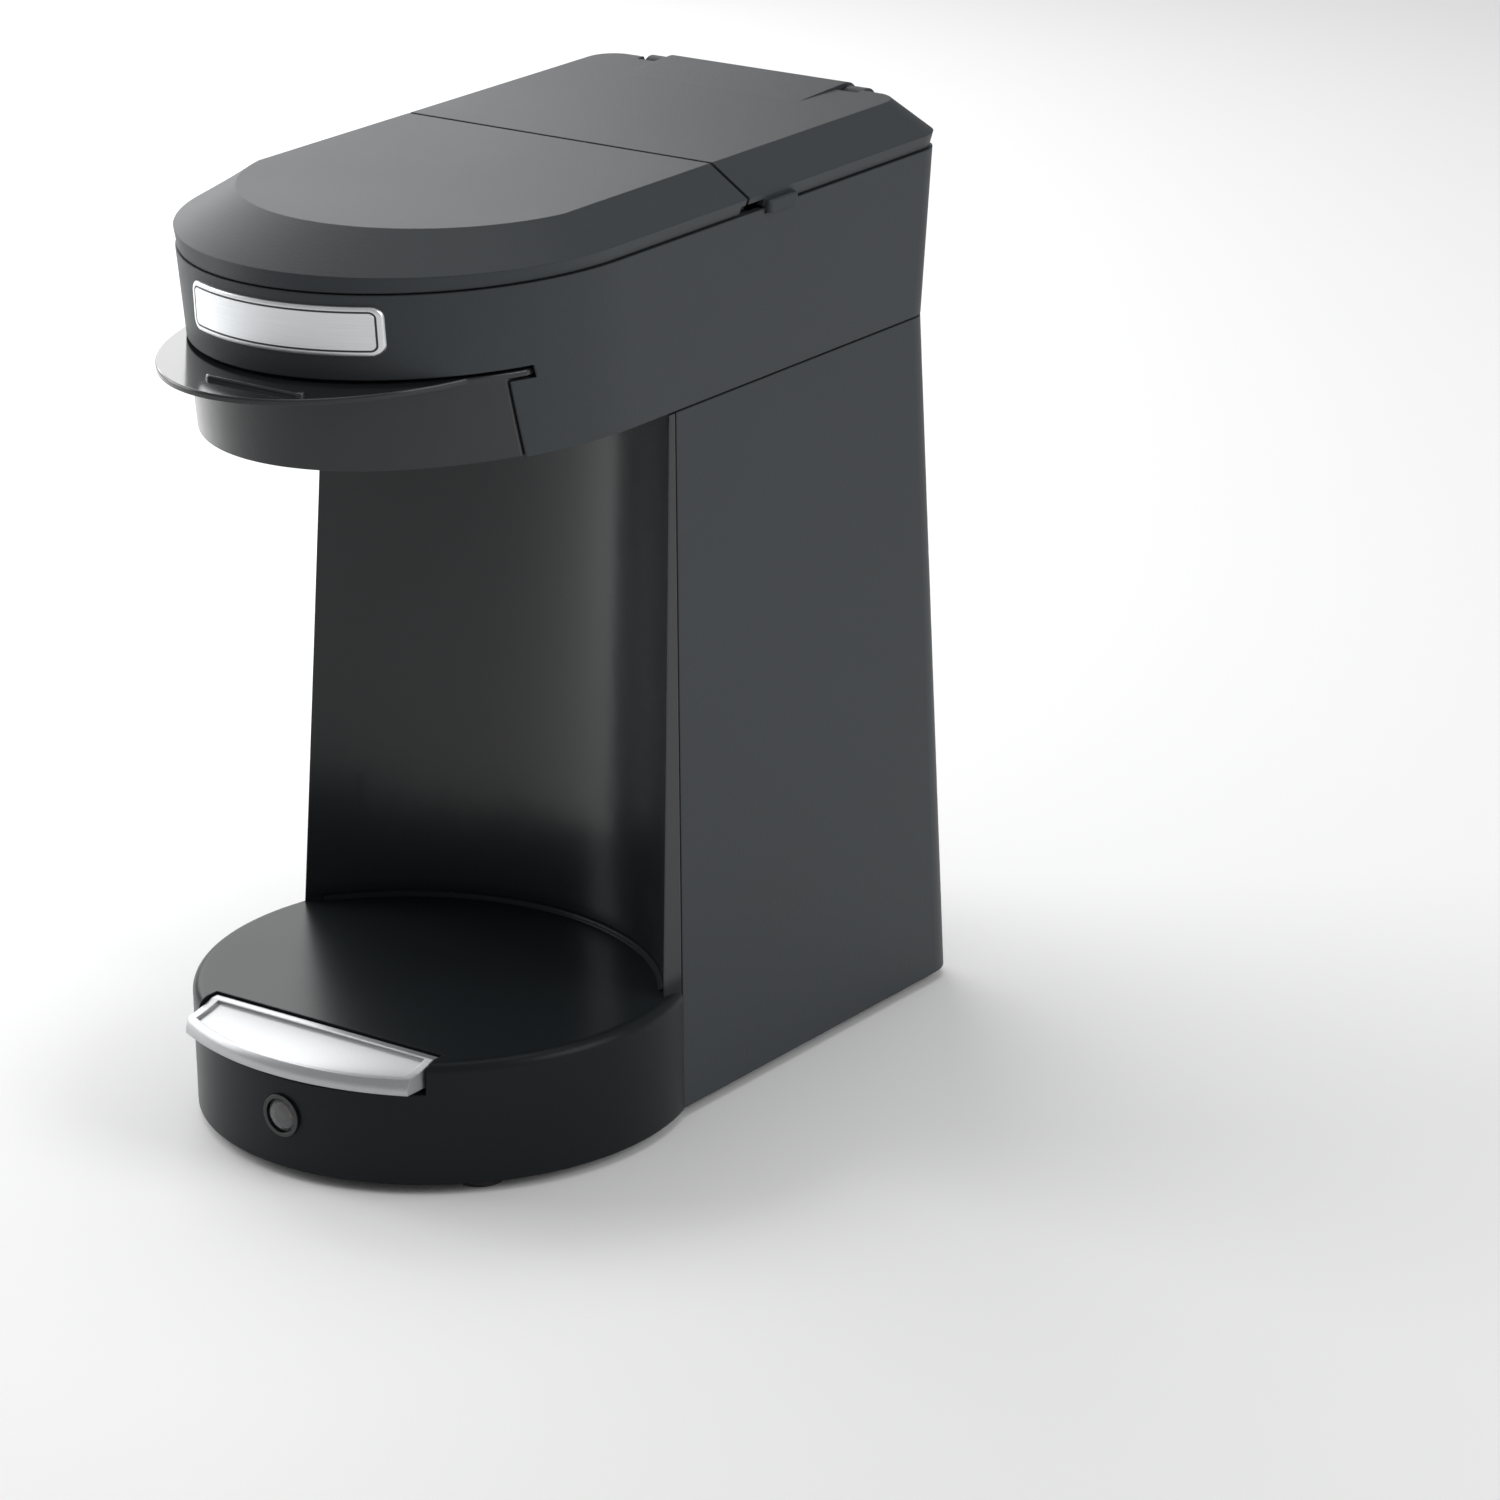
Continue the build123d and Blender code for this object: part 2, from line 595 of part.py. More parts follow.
def brew_basket():
    """Drawer: round lip with a grip ridge, curved front wall, pod cup with ribs and drip nozzle."""
    lip = extrude(Pos(0, LIP_Y, LIP_Z) * Ellipse(LIP_HALF, LIP_REACH), LIP_THICKNESS)
    lip += extrude(plan(level(HEAD_FOOT, HEAD_TOP, LIP_Z)), LIP_THICKNESS)
    lip &= slab(-LIP_REAR_HALF, LIP_REAR_HALF, -REACH, LIP_REAR_Y, LIP_Z, LIP_TOP)
    lip = fillet(lip.edges().group_by(Axis.Z)[-1], 0.5)
    z0 = HEAD_FOOT.z + 0.6
    front = head(z0, LIP_Z) - head(z0 - 1, LIP_Z + 1, WALL)
    front = front & slab(-BASKET_HALF, BASKET_HALF, -REACH, RUNNER_FRONT_Y - 1, z0, LIP_Z)
    floor_z = LIP_TOP - CUP_DEPTH
    cup = cylinder(CUP_RADIUS + CUP_WALL, floor_z - CUP_WALL, LIP_Z, y=CUP_Y)
    cup += cylinder(NOZZLE_RADIUS, NOZZLE_Z, floor_z, y=CUP_Y)
    basket = lip + front + cup
    basket -= cylinder(CUP_RADIUS, floor_z, LIP_TOP + 1, y=CUP_Y)
    for turn in range(4):
        rib = Pos(CUP_RADIUS / 2 + 4, 0, floor_z) * Box(CUP_RADIUS - 10, 2, RIB_HEIGHT, align=UP)
        basket += Pos(0, CUP_Y, 0) * Rot(0, 0, 90 * turn + 45) * rib
    basket -= cylinder(NOZZLE_BORE, NOZZLE_Z - 1, floor_z + 5, y=CUP_Y)
    ridge = SlotOverall(RIDGE_LENGTH, RIDGE_WIDTH)
    ridge = extrude(Pos(RIDGE_X, RIDGE_Y, LIP_TOP) * ridge, RIDGE_HEIGHT)
    return basket + fillet(ridge.edges().group_by(Axis.Z)[-1], 0.6)


def pod_screen():
    """Perforated disc under the pod, on the cup's ribs."""
    z = LIP_TOP - CUP_DEPTH + RIB_HEIGHT
    disc = Cylinder(CUP_RADIUS - SCREEN_PLAY, SCREEN_THICKNESS, align=UP)
    holes = [Cylinder(1.0, 2, align=UP)]
    for ring in range(1, 5):
        holes += PolarLocations(ring * 7.0, ring * 6) * Cylinder(1.0, 2, align=UP)
    return Pos(0, CUP_Y, z) * (disc - holes)


def brew_plate():
    """Plate over the basket that carries the spray head and its gasket."""
    z0, z1 = BREW_PLATE_Z, BREW_PLATE_Z + BREW_PLATE_THICKNESS
    plate = head(z0, z1, WALL + PLATE_PLAY)
    plate &= slab(-REACH, REACH, -REACH, TANK_FRONT_Y - 6, z0, z1)
    return plate - cylinder(STEM_RADIUS, z0 - 1, z1 + 1, y=CUP_Y)


def spray_head():
    """Shower disc under the brew plate with a stem and an elbow for the riser hose."""
    z0 = BREW_PLATE_Z - SPRAY_HEIGHT
    disc = Pos(0, CUP_Y, z0) * Cylinder(SPRAY_RADIUS, SPRAY_HEIGHT, align=UP)
    holes = PolarLocations(9, 6) * Cylinder(0.8, 4, align=UP)
    holes += PolarLocations(18, 12) * Cylinder(0.8, 4, align=UP)
    disc -= [Pos(0, CUP_Y, z0 - 1) * hole for hole in holes]
    x, y, z = riser_points()[-1]
    stem = cylinder(STEM_RADIUS, BREW_PLATE_Z - 1, z + STEM_RADIUS, y=CUP_Y)
    barb = along_y(BARB_RADIUS, CUP_Y, y + BARB_LENGTH, x, z)
    bore = along_y(BARB_RADIUS - 1.2, CUP_Y, y + BARB_LENGTH + 1, x, z)
    bore += cylinder(BARB_RADIUS - 1.2, BREW_PLATE_Z - SPRAY_HEIGHT + 1, z, y=CUP_Y)
    return disc + stem + barb - bore


def spray_gasket():
    """Soft ring round the shower disc, over the cup's rim."""
    z0 = LIP_TOP + GASKET_ABOVE_LIP
    ring = cylinder(GASKET_OUTER, z0, BREW_PLATE_Z, y=CUP_Y)
    return ring - cylinder(GASKET_INNER, z0 - 1, BREW_PLATE_Z + 1, y=CUP_Y)


def tank_shape(z0, z1, inset=0.0):
    """Upright block with the tank's rounded plan, drawn in by the inset."""
    width = TANK_RIGHT_X - TANK_LEFT_X - 2 * inset
    depth = TANK_BACK_Y - TANK_FRONT_Y - 2 * inset
    centre = ((TANK_LEFT_X + TANK_RIGHT_X) / 2, (TANK_FRONT_Y + TANK_BACK_Y) / 2, z0)
    return extrude(Pos(*centre) * RectangleRounded(width, depth, TANK_CORNER - inset), z1 - z0)


def water_reservoir():
    """Open tank with a rim that fills the head behind the lid seam, and an outlet spigot."""
    top = TANK_RIM_Z + TANK_RIM
    rim = head(TANK_RIM_Z, top, WALL + PLATE_PLAY)
    rim &= slab(-REACH, REACH, TANK_FRONT_Y - 4, REACH, TANK_RIM_Z, top)
    tank = tank_shape(TANK_FLOOR_Z, TANK_RIM_Z + TANK_RIM) + rim
    tank -= tank_shape(TANK_FLOOR_Z + TANK_WALL, top + 1, TANK_WALL)
    x, y, z = inlet_points()[0]
    tank += cylinder(BARB_RADIUS, z - BARB_LENGTH, TANK_FLOOR_Z + 1, x, y)
    return tank - cylinder(BARB_RADIUS - 1.2, z - BARB_LENGTH - 1, TANK_FLOOR_Z + 5, x, y)


def reservoir_strainer():
    """Slotted cup over the tank's outlet."""
    x, y, _ = inlet_points()[0]
    z = TANK_FLOOR_Z + TANK_WALL
    top = z + STRAINER_HEIGHT
    cup = cylinder(STRAINER_RADIUS, z, top, x, y) - cylinder(STRAINER_RADIUS - 1, z - 1, top - 1, x, y)
    slots = [Rot(0, 0, 30 * turn) * Box(3 * STRAINER_RADIUS, 1.0, STRAINER_HEIGHT / 2) for turn in range(6)]
    return cup - [Pos(x, y, z + STRAINER_HEIGHT / 2) * slot for slot in slots]


def inlet_points():
    """Route of the inlet hose: tank outlet, valve in the middle of the drop, heater inlet."""
    x, z = -HEATER_HALF, HEATER_Z + WATER_TUBE_RISE
    start = TANK_FLOOR_Z - 1
    return [(x, HEATER_ENDS_Y - 4, start), (x, HEATER_ENDS_Y - 4, 90), (x, 102, 66), (x, 102, z),
            (x, HEATER_BARB_Y, z)]


def riser_points():
    """Route of the riser hose: heater outlet, up beside the tank, over the brew plate to the stem."""
    x, z = HEATER_HALF, HEATER_Z + WATER_TUBE_RISE
    over = BREW_PLATE_Z + BREW_PLATE_THICKNESS + HOSE_RADIUS + CLAMP_WALL + SEAT
    return [(x, HEATER_BARB_Y, z), (x, 102, z), (46, 102, 75), (46, 62, 118), (46, 62, over),
            (46, 5, over), (0, -22, over), (0, CUP_Y + STEM_RADIUS + 1, over)]


def hose(points, radii):
    """Silicone hose of straight runs and tangent arcs."""
    path = FilletPolyline(*points, radius=radii)
    section = Plane(origin=path @ 0, z_dir=path % 0) * (Circle(HOSE_RADIUS) - Circle(HOSE_BORE))
    return sweep(section, path)


def upper_inlet_hose():
    """Short hose from the tank down to the check valve."""
    x, y, z = inlet_points()[0]
    low = VALVE_Z + VALVE_HALF + 1
    return cylinder(HOSE_RADIUS, low, z, x, y) - cylinder(HOSE_BORE, low - 1, z + 1, x, y)


def lower_inlet_hose():
    """Hose from the check valve down and round into the heater."""
    points = inlet_points()
    x, y, _ = points[0]
    return hose([(x, y, VALVE_Z - VALVE_HALF - 1)] + points[1:], [14, 14, 12])


def riser_hose():
    return hose(riser_points(), [12, 18, 22, 16, 22, 16])


def check_valve():
    """Valve body in the drop of the inlet hose, with a barb at each end and a ball cage."""
    x, y, _ = inlet_points()[0]
    ends = VALVE_HALF + BARB_LENGTH
    body = cylinder(VALVE_RADIUS, VALVE_Z - VALVE_HALF, VALVE_Z + VALVE_HALF, x, y)
    body += cylinder(BARB_RADIUS, VALVE_Z - ends, VALVE_Z + ends, x, y)
    body -= cylinder(VALVE_CHAMBER, VALVE_Z - VALVE_CHAMBER_HALF, VALVE_Z + VALVE_CHAMBER_HALF, x, y)
    return body - cylinder(VALVE_PORT, VALVE_Z - ends - 1, VALVE_Z + ends + 1, x, y)


def check_ball():
    """Loose ball that closes the valve against back flow."""
    x, y, _ = inlet_points()[0]
    seat_rise = sqrt(BALL_RADIUS ** 2 - VALVE_PORT ** 2) + PIN_PLAY
    return Pos(x, y, VALVE_Z - VALVE_CHAMBER_HALF + seat_rise) * Sphere(BALL_RADIUS)


def heater_path(z, extend):
    """Centre line of the U-shaped heater at height z, its ends longer by extend."""
    ends = HEATER_ENDS_Y + extend
    points = [(-HEATER_HALF, ends, z), (-HEATER_HALF, HEATER_FRONT_Y, z),
              (HEATER_HALF, HEATER_FRONT_Y, z), (HEATER_HALF, ends, z)]
    return FilletPolyline(*points, radius=HEATER_BEND)


def along_heater(face, z, extend):
    path = heater_path(z, extend)
    return sweep(Plane(origin=path @ 0, x_dir=(1, 0, 0), z_dir=path % 0) * face, path)


def heater_casting():
    """Cast aluminium U that binds the water tube and the heating element."""
    body = along_heater(Rectangle(HEATER_WIDTH, HEATER_HEIGHT), HEATER_Z, 0)
    body -= along_heater(Circle(WATER_TUBE_RADIUS + PRESS_PLAY), HEATER_Z + WATER_TUBE_RISE, 1)
    return body - along_heater(Circle(ELEMENT_RADIUS + PRESS_PLAY), HEATER_Z - ELEMENT_DROP, 1)


def water_tube():
    """Metal tube through the casting; its ends are the hose barbs."""
    tube = along_heater(Circle(WATER_TUBE_RADIUS) - Circle(WATER_TUBE_RADIUS - 1.3),
                        HEATER_Z + WATER_TUBE_RISE, 0.5)
    for x in (-HEATER_HALF, HEATER_HALF):
        y0, y1 = HEATER_ENDS_Y + 0.5, HEATER_BARB_Y + BARB_LENGTH - 1
        z = HEATER_Z + WATER_TUBE_RISE
        tube += along_y(BARB_RADIUS, y0, y1, x, z) - along_y(BARB_RADIUS - 1, y0 - 1, y1 + 1, x, z)
    return tube


def heating_element():
    """Sheathed element through the casting, with a terminal pin at each end."""
    rod = along_heater(Circle(ELEMENT_RADIUS), HEATER_Z - ELEMENT_DROP, 5)
    for x in (-HEATER_HALF, HEATER_HALF):
        rod += along_y(1.2, HEATER_ENDS_Y + 4, HEATER_ENDS_Y + 14, x, HEATER_Z - ELEMENT_DROP)
    return rod


def heater_bracket():
    """Steel cross strips between the floor plate's posts and the casting."""
    z1 = BRACKET_Z + BRACKET_THICKNESS
    strips = []
    for y in BRACKET_YS:
        strips.append(slab(-HEATER_HALF - 8, HEATER_HALF + 8, y - 5, y + 5, BRACKET_Z, z1))
    return Compound(children=strips)


def thermostat():
    """Disc thermostat on top of the casting, with two blade terminals."""
    x, y = HEATER_HALF, HEATER_ENDS_Y - 12
    rim_z = HEATER_Z + HEATER_HEIGHT / 2 + THERMOSTAT_RIM
    top = rim_z + THERMOSTAT_HEIGHT
    body = cylinder(THERMOSTAT_RADIUS, rim_z - THERMOSTAT_RIM, rim_z, x, y)
    body += cylinder(THERMOSTAT_RADIUS - 1, rim_z, top, x, y)
    for side in (-BLADE_X, BLADE_X):
        body += slab(x + side - 0.4, x + side + 0.4, y - 3, y + 3, top - 1, top + BLADE_LENGTH)
    return body


def thermal_fuses():
    """Two cut-out fuses lying on the casting's front bend."""
    z = HEATER_Z + HEATER_HEIGHT / 2 + FUSE_RADIUS
    fuses = []
    for x in (-FUSE_X, FUSE_X):
        fuse = along_x(FUSE_RADIUS, x - FUSE_HALF, x + FUSE_HALF, HEATER_FRONT_Y, z)
        reach = FUSE_HALF + FUSE_LEAD
        fuses.append(fuse + along_x(0.5, x - reach, x + reach, HEATER_FRONT_Y, z))
    return Compound(children=fuses)


def button_block(inset, z0, z1):
    """Block between the button's ends and rear edge, drawn in by the inset."""
    half = BUTTON_HALF - inset
    return slab(-half, half, -REACH, BUTTON_REAR_Y - inset, z0, z1)


def button_scoop(depth):
    """Long hollow along X that falls towards the button's front, lowered by depth."""
    centre_z = BUTTON_SCOOP_Z + BUTTON_SCOOP_RADIUS - depth
    return along_x(BUTTON_SCOOP_RADIUS, -REACH, REACH, BUTTON_SCOOP_Y, centre_z)


def power_button():
    """Silver press button in the platform's front edge: rolled nose, scooped top with a rim, plunger."""
    centre_y = FRONT_Y - BUTTON_PROUD + BUTTON_RADIUS
    z0, z1 = BUTTON_FOOT_Z, BUTTON_TOP_Z
    roll = (BUTTON_RADIUS - BUTTON_NOSE_RUN, z1 - BUTTON_NOSE_DROP)
    profile = [
        EllipticalCenterArc(roll, BUTTON_NOSE_RUN, BUTTON_NOSE_DROP, start_angle=0, arc_size=90),
        Line((roll[0], z1), (0, z1)), Line((0, z1), (0, z0)),
        Line((0, z0), (BUTTON_RADIUS, z0)), Line((BUTTON_RADIUS, z0), (BUTTON_RADIUS, roll[1])),
    ]
    body = Pos(0, centre_y, 0) * revolve(Plane.XZ * make_face(profile), Axis.Z)
    body = (body & button_block(0.0, z0, z1)) - button_scoop(0.0)
    inner = cylinder(BASE_RADIUS - BUTTON_WALL, z0 - 1, BUTTON_CAVITY_Z, y=BASE_Y)
    inner &= button_block(BUTTON_WALL, z0 - 1, BUTTON_CAVITY_Z)
    dish = button_scoop(BUTTON_DISH_DEPTH) & button_block(BUTTON_RIM, z0, z1 + 1)
    dish &= cylinder(BUTTON_RADIUS - BUTTON_RIM, z0, z1 + 1, y=centre_y)
    plunger = cylinder(PLUNGER_RADIUS, PLUNGER_Z, BUTTON_CAVITY_Z + 1, PLUNGER_X, PLUNGER_Y)
    return body - inner - dish + plunger


def button_spring():
    """Coil spring between the well's ledge and the button."""
    height = BUTTON_CAVITY_Z - LEDGE_TOP - 2 * SPRING_WIRE - SEAT
    path = Helix(height / SPRING_TURNS, height, SPRING_RADIUS)
    coil = sweep(Plane(origin=path @ 0, z_dir=path % 0) * Circle(SPRING_WIRE), path)
    return Pos(SPRING_X, PLUNGER_Y, LEDGE_TOP + SPRING_WIRE + 0.1) * coil


def board_posts():
    return [(x, y) for x in (-26.0, 26.0) for y in (-86.0, -72.0)]


def control_board():
    """Small circuit board on the floor plate's posts."""
    z0 = BOARD_TOP - BOARD_THICKNESS
    board = slab(-BOARD_HALF, BOARD_HALF, BOARD_FRONT_Y, BOARD_REAR_Y, z0, BOARD_TOP)
    relay = slab(-20, -4, BOARD_FRONT_Y + 9, BOARD_REAR_Y - 4, BOARD_TOP, BOARD_TOP + RELAY_HEIGHT)
    return board + relay


def micro_switch():
    """Snap switch under the button's plunger, standing on the board."""
    top = PLUNGER_Z - BUTTON_TRAVEL - SEAT
    x0, x1 = PLUNGER_X - SWITCH_HALF, PLUNGER_X + SWITCH_HALF
    y0 = PLUNGER_Y + 1
    y1 = y0 + SWITCH_DEPTH
    body = slab(x0, x1, y0, y1, BOARD_TOP, top - 1.5)
    lever = slab(x0 + 1, PLUNGER_X + 4, PLUNGER_Y - 3, y1 - 1, top - LEVER_THICKNESS, top)
    foot = slab(x0 + 1, x0 + 3, y0, y1 - 1, top - 2, top)
    return body + lever + foot


def indicator_bezel():
    """Ring round the indicator lens, in the skirt's front."""
    front = FRONT_Y - BEZEL_PROUD
    ring = along_y(BEZEL_RADIUS, front, FRONT_Y - 0.02, 0, INDICATOR_Z)
    ring = ring - cylinder(BASE_RADIUS + 0.02, 0, 60, y=BASE_Y)
    sleeve = along_y(LENS_RADIUS + SLEEVE_WALL, front, FRONT_Y + LENS_DEPTH + 1, 0, INDICATOR_Z)
    return ring + sleeve - along_y(LENS_RADIUS, -REACH, REACH, 0, INDICATOR_Z)


def indicator_lens():
    """Clear domed lens in the bezel."""
    front = FRONT_Y - BEZEL_PROUD
    body = along_y(LENS_RADIUS - PIN_PLAY, front - 0.2, FRONT_Y + LENS_DEPTH, 0, INDICATOR_Z)
    return fillet(body.edges().group_by(Axis.Y)[0], 0.8)


def indicator_lamp():
    """Lamp behind the lens on two legs that stand on the board."""
    y0 = FRONT_Y + LENS_DEPTH + SEAT
    lamp = along_y(LAMP_RADIUS, y0, LAMP_REAR_Y, 0, INDICATOR_Z)
    lamp += slab(-LAMP_FLANGE, LAMP_FLANGE, LAMP_REAR_Y - 0.5, LAMP_REAR_Y + LAMP_FLANGE,
                 INDICATOR_Z - LAMP_FLANGE, INDICATOR_Z + LAMP_FLANGE)
    leg_y = LAMP_REAR_Y + LAMP_FLANGE / 2
    for x in (-LAMP_LEG_X, LAMP_LEG_X):
        lamp += slab(x - LAMP_LEG / 2, x + LAMP_LEG / 2, leg_y, leg_y + LAMP_LEG, BOARD_TOP, INDICATOR_Z)
    return lamp


def cord_inlet():
    """Flanged bush in the rear wall for the supply cord."""
    wall_y = level(COLUMN_FOOT, COLUMN_TOP, INLET_Z - INLET_FLANGE).back
    outer = wall_y + INLET_LIP
    groove = wall_y - WALL - INLET_LIP
    bush = along_y(INLET_FLANGE, wall_y, outer, INLET_X, INLET_Z)
    bush += along_y(INLET_BODY, outer - INLET_LENGTH, outer, INLET_X, INLET_Z)
    bush += along_y(INLET_FLANGE, groove - INLET_CLIP, groove, INLET_X, INLET_Z)
    return bush - along_y(INLET_BORE, outer - 2 * INLET_LENGTH, REACH, INLET_X, INLET_Z)


def hose_clamps():
    """Spring rings that hold the hoses on their barbs."""
    x, y, z = inlet_points()[0]
    rings = []
    inner = HOSE_RADIUS + PRESS_PLAY
    outer = HOSE_RADIUS + CLAMP_WALL
    for height in (z - 6, VALVE_Z + 13, VALVE_Z - 13):
        ring = cylinder(outer, height - CLAMP_WIDTH / 2, height + CLAMP_WIDTH / 2, x, y)
        rings.append(ring - cylinder(inner, height - 5, height + 5, x, y))
    for px, py, pz in (inlet_points()[-1], riser_points()[0], riser_points()[-1]):
        ring = along_y(outer, py + 2, py + 2 + CLAMP_WIDTH, px, pz)
        rings.append(ring - along_y(inner, py, py + 10, px, pz))
    return Compound(children=rings)


PIECES = [
    front_frame, rear_shell, base_plate, rubber_feet, base_screws, neck_screws, upper_housing, head_floor,
    top_cover, reservoir_lid, hinge_pin, badge_plate, brew_basket, pod_screen, brew_plate, spray_head,
    spray_gasket, water_reservoir, reservoir_strainer, upper_inlet_hose, lower_inlet_hose, riser_hose,
    check_valve, check_ball, heater_casting, water_tube, heating_element, heater_bracket, thermostat,
    thermal_fuses, power_button, button_spring, control_board, micro_switch, indicator_bezel,
    indicator_lens, indicator_lamp, cord_inlet, hose_clamps,
]


def main():
    os.makedirs("parts", exist_ok=True)
    for piece in PIECES:
        export_step(piece(), f"parts/{piece.__name__}.step")


main()
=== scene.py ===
import math

import bmesh
import bpy
import numpy as np
from bpy.props import FloatProperty, FloatVectorProperty, IntProperty, PointerProperty
from mathutils import Matrix, Vector


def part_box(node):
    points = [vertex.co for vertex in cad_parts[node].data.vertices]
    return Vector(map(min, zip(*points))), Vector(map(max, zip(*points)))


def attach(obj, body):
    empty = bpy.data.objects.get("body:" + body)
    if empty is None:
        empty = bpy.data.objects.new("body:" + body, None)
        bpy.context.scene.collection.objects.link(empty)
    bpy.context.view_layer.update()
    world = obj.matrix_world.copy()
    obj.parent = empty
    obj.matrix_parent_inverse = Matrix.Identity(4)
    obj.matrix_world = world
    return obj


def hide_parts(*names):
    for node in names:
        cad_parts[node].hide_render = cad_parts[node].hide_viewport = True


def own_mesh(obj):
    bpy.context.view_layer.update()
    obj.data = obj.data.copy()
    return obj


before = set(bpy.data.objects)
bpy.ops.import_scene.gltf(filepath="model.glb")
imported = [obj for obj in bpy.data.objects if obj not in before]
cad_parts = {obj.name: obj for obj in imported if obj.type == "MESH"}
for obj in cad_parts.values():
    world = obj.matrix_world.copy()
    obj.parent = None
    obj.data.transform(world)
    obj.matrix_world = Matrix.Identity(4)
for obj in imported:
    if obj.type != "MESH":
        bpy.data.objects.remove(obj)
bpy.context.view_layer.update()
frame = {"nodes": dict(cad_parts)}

bl_info = {
    "name": "Pod Coffee Maker",
    "version": (1, 0, 0),
    "blender": (4, 5, 0),
    "location": "View3D > Sidebar > Coffee Maker",
    "description": "Finishes, fine pieces and studio stage for a single-cup pod coffee maker",
    "category": "Add Mesh",
}

MM = 0.001

# Head wall: half an ellipse in front, as (height, half width, waist y, bow) at its foot and top
HEAD_FOOT = (0.1996, 0.0603, -0.0200, 0.0817)
HEAD_TOP = (0.2474, 0.0637, -0.0304, 0.0715)

# Bay wall at the platform: centre y, radius, and the platform's height
BAY_CENTRE_Y = -0.0641
BAY_RADIUS = 0.0777
PLATFORM_Z = 0.038
COVE_HALF_X = 0.0612
COVE_SUNK = 0.2 * MM
COVE_LENGTH_STEPS = 16

# Basket: from the top of its grip ridge down to the underside of its lip
RIDGE_TO_LIP_FOOT = 2.8 * MM

# Button's spring: turns, steps a turn, sides and radius of its wire
SPRING_TURNS = 2
SPRING_STEPS = 24
SPRING_SIDES = 10
SPRING_WIRE = 0.35 * MM

# Badge's border: share of the groove's depth that its inlay fills
BORDER_FILL = 0.7

# Slow changes of tone in the casings, in cells per metre
CLOUD_SCALE = 18.0

# Meshes: points closer than this are one point, and edges shorter than this are dropped
SAME_POINT = 1e-6
SHORTEST_EDGE = 1e-7

# Colours of the finishes that have no setting of their own
INNER_BLACK = (0.035, 0.035, 0.037)
SWITCH_BLACK = (0.02, 0.02, 0.021)
BEZEL_BLACK = (0.012, 0.012, 0.013)
BORDER_BLACK = (0.02, 0.021, 0.023)
FOOT_BLACK = (0.02, 0.02, 0.021)
GASKET_GREY = (0.16, 0.16, 0.16)
HOSE_WHITE = (0.74, 0.73, 0.69)
VALVE_WHITE = (0.62, 0.62, 0.6)
TANK_SMOKE = (0.11, 0.115, 0.12)
STEEL = (0.6, 0.6, 0.61)
THERMOSTAT_STEEL = (0.58, 0.58, 0.57)
CAST_ALUMINIUM = (0.62, 0.62, 0.63)
TUBE_ALUMINIUM = (0.7, 0.7, 0.7)
ELEMENT_SHEATH = (0.4, 0.39, 0.37)
FUSE_BRASS = (0.75, 0.6, 0.32)
BOARD_GREEN = (0.03, 0.16, 0.07)
SOLDER = (0.55, 0.54, 0.5, 1.0)
LAMP_RED = (0.5, 0.06, 0.05)

# Camera: width of its sensor in millimetres, and the nearest that it sees in metres
SENSOR_WIDTH = 36.0
NEAREST_VIEW = 0.05

# Floor: half its side
FLOOR_REACH = 6.0

# Soft square lamps: name, place, aim point, side in metres and power in watts
OBJECT_MIDDLE = (0.0, 0.0, 0.12)
LAMPS = (
    ("top_lamp", (0.1, 0.2, 2.4), OBJECT_MIDDLE, 1.6, 13.0),
    ("back_left_lamp", (-1.05, 0.72, 0.72), OBJECT_MIDDLE, 0.9, 7.4),
    ("front_left_lamp", (-1.8, -0.5, 0.8), OBJECT_MIDDLE, 1.2, 16.5),
    ("left_floor_lamp", (-0.62, 0.0, 0.36), (-0.56, 0.0, 0.0), 0.4, 1.9),
    ("right_lamp", (1.5, 0.3, 0.9), OBJECT_MIDDLE, 1.0, 10.5),
)


class Number:
    """A value in a node sheet; arithmetic on it adds Math nodes."""

    def __init__(self, sheet, socket):
        self.sheet = sheet
        self.socket = socket

    def math(self, operation, first, second):
        return self.sheet.node("ShaderNodeMath", {"operation": operation}, {0: first, 1: second})

    def __add__(self, other):
        return self.math("ADD", self, other)

    def __radd__(self, other):
        return self.math("ADD", other, self)

    def __sub__(self, other):
        return self.math("SUBTRACT", self, other)

    def __rsub__(self, other):
        return self.math("SUBTRACT", other, self)

    def __mul__(self, other):
        return self.math("MULTIPLY", self, other)

    def either(self, other):
        """The larger of two values, which is either of two masks."""
        return self.math("MAXIMUM", self, other)

    def ramp(self, low, high, to_low=0.0, to_high=1.0):
        """Smooth step from to_low to to_high between two values."""
        inputs = {0: self, 1: low, 2: high, 3: to_low, 4: to_high}
        return self.sheet.node("ShaderNodeMapRange", {"interpolation_type": "SMOOTHSTEP"}, inputs)


class NodeSheet:
    """A node tree that nodes are added to."""

    def __init__(self, tree):
        self.tree = tree

    def put(self, socket, value):
        if isinstance(value, Number):
            self.tree.links.new(value.socket, socket)
        else:
            socket.default_value = value

    def node(self, kind, settings, inputs, output=0):
        """Adds one node: its settings first, then its sockets' values or links."""
        made = self.tree.nodes.new(kind)
        for key, value in settings.items():
            setattr(made, key, value)
        for key, value in inputs.items():
            self.put(made.inputs[key], value)
        return Number(self, made.outputs[output])


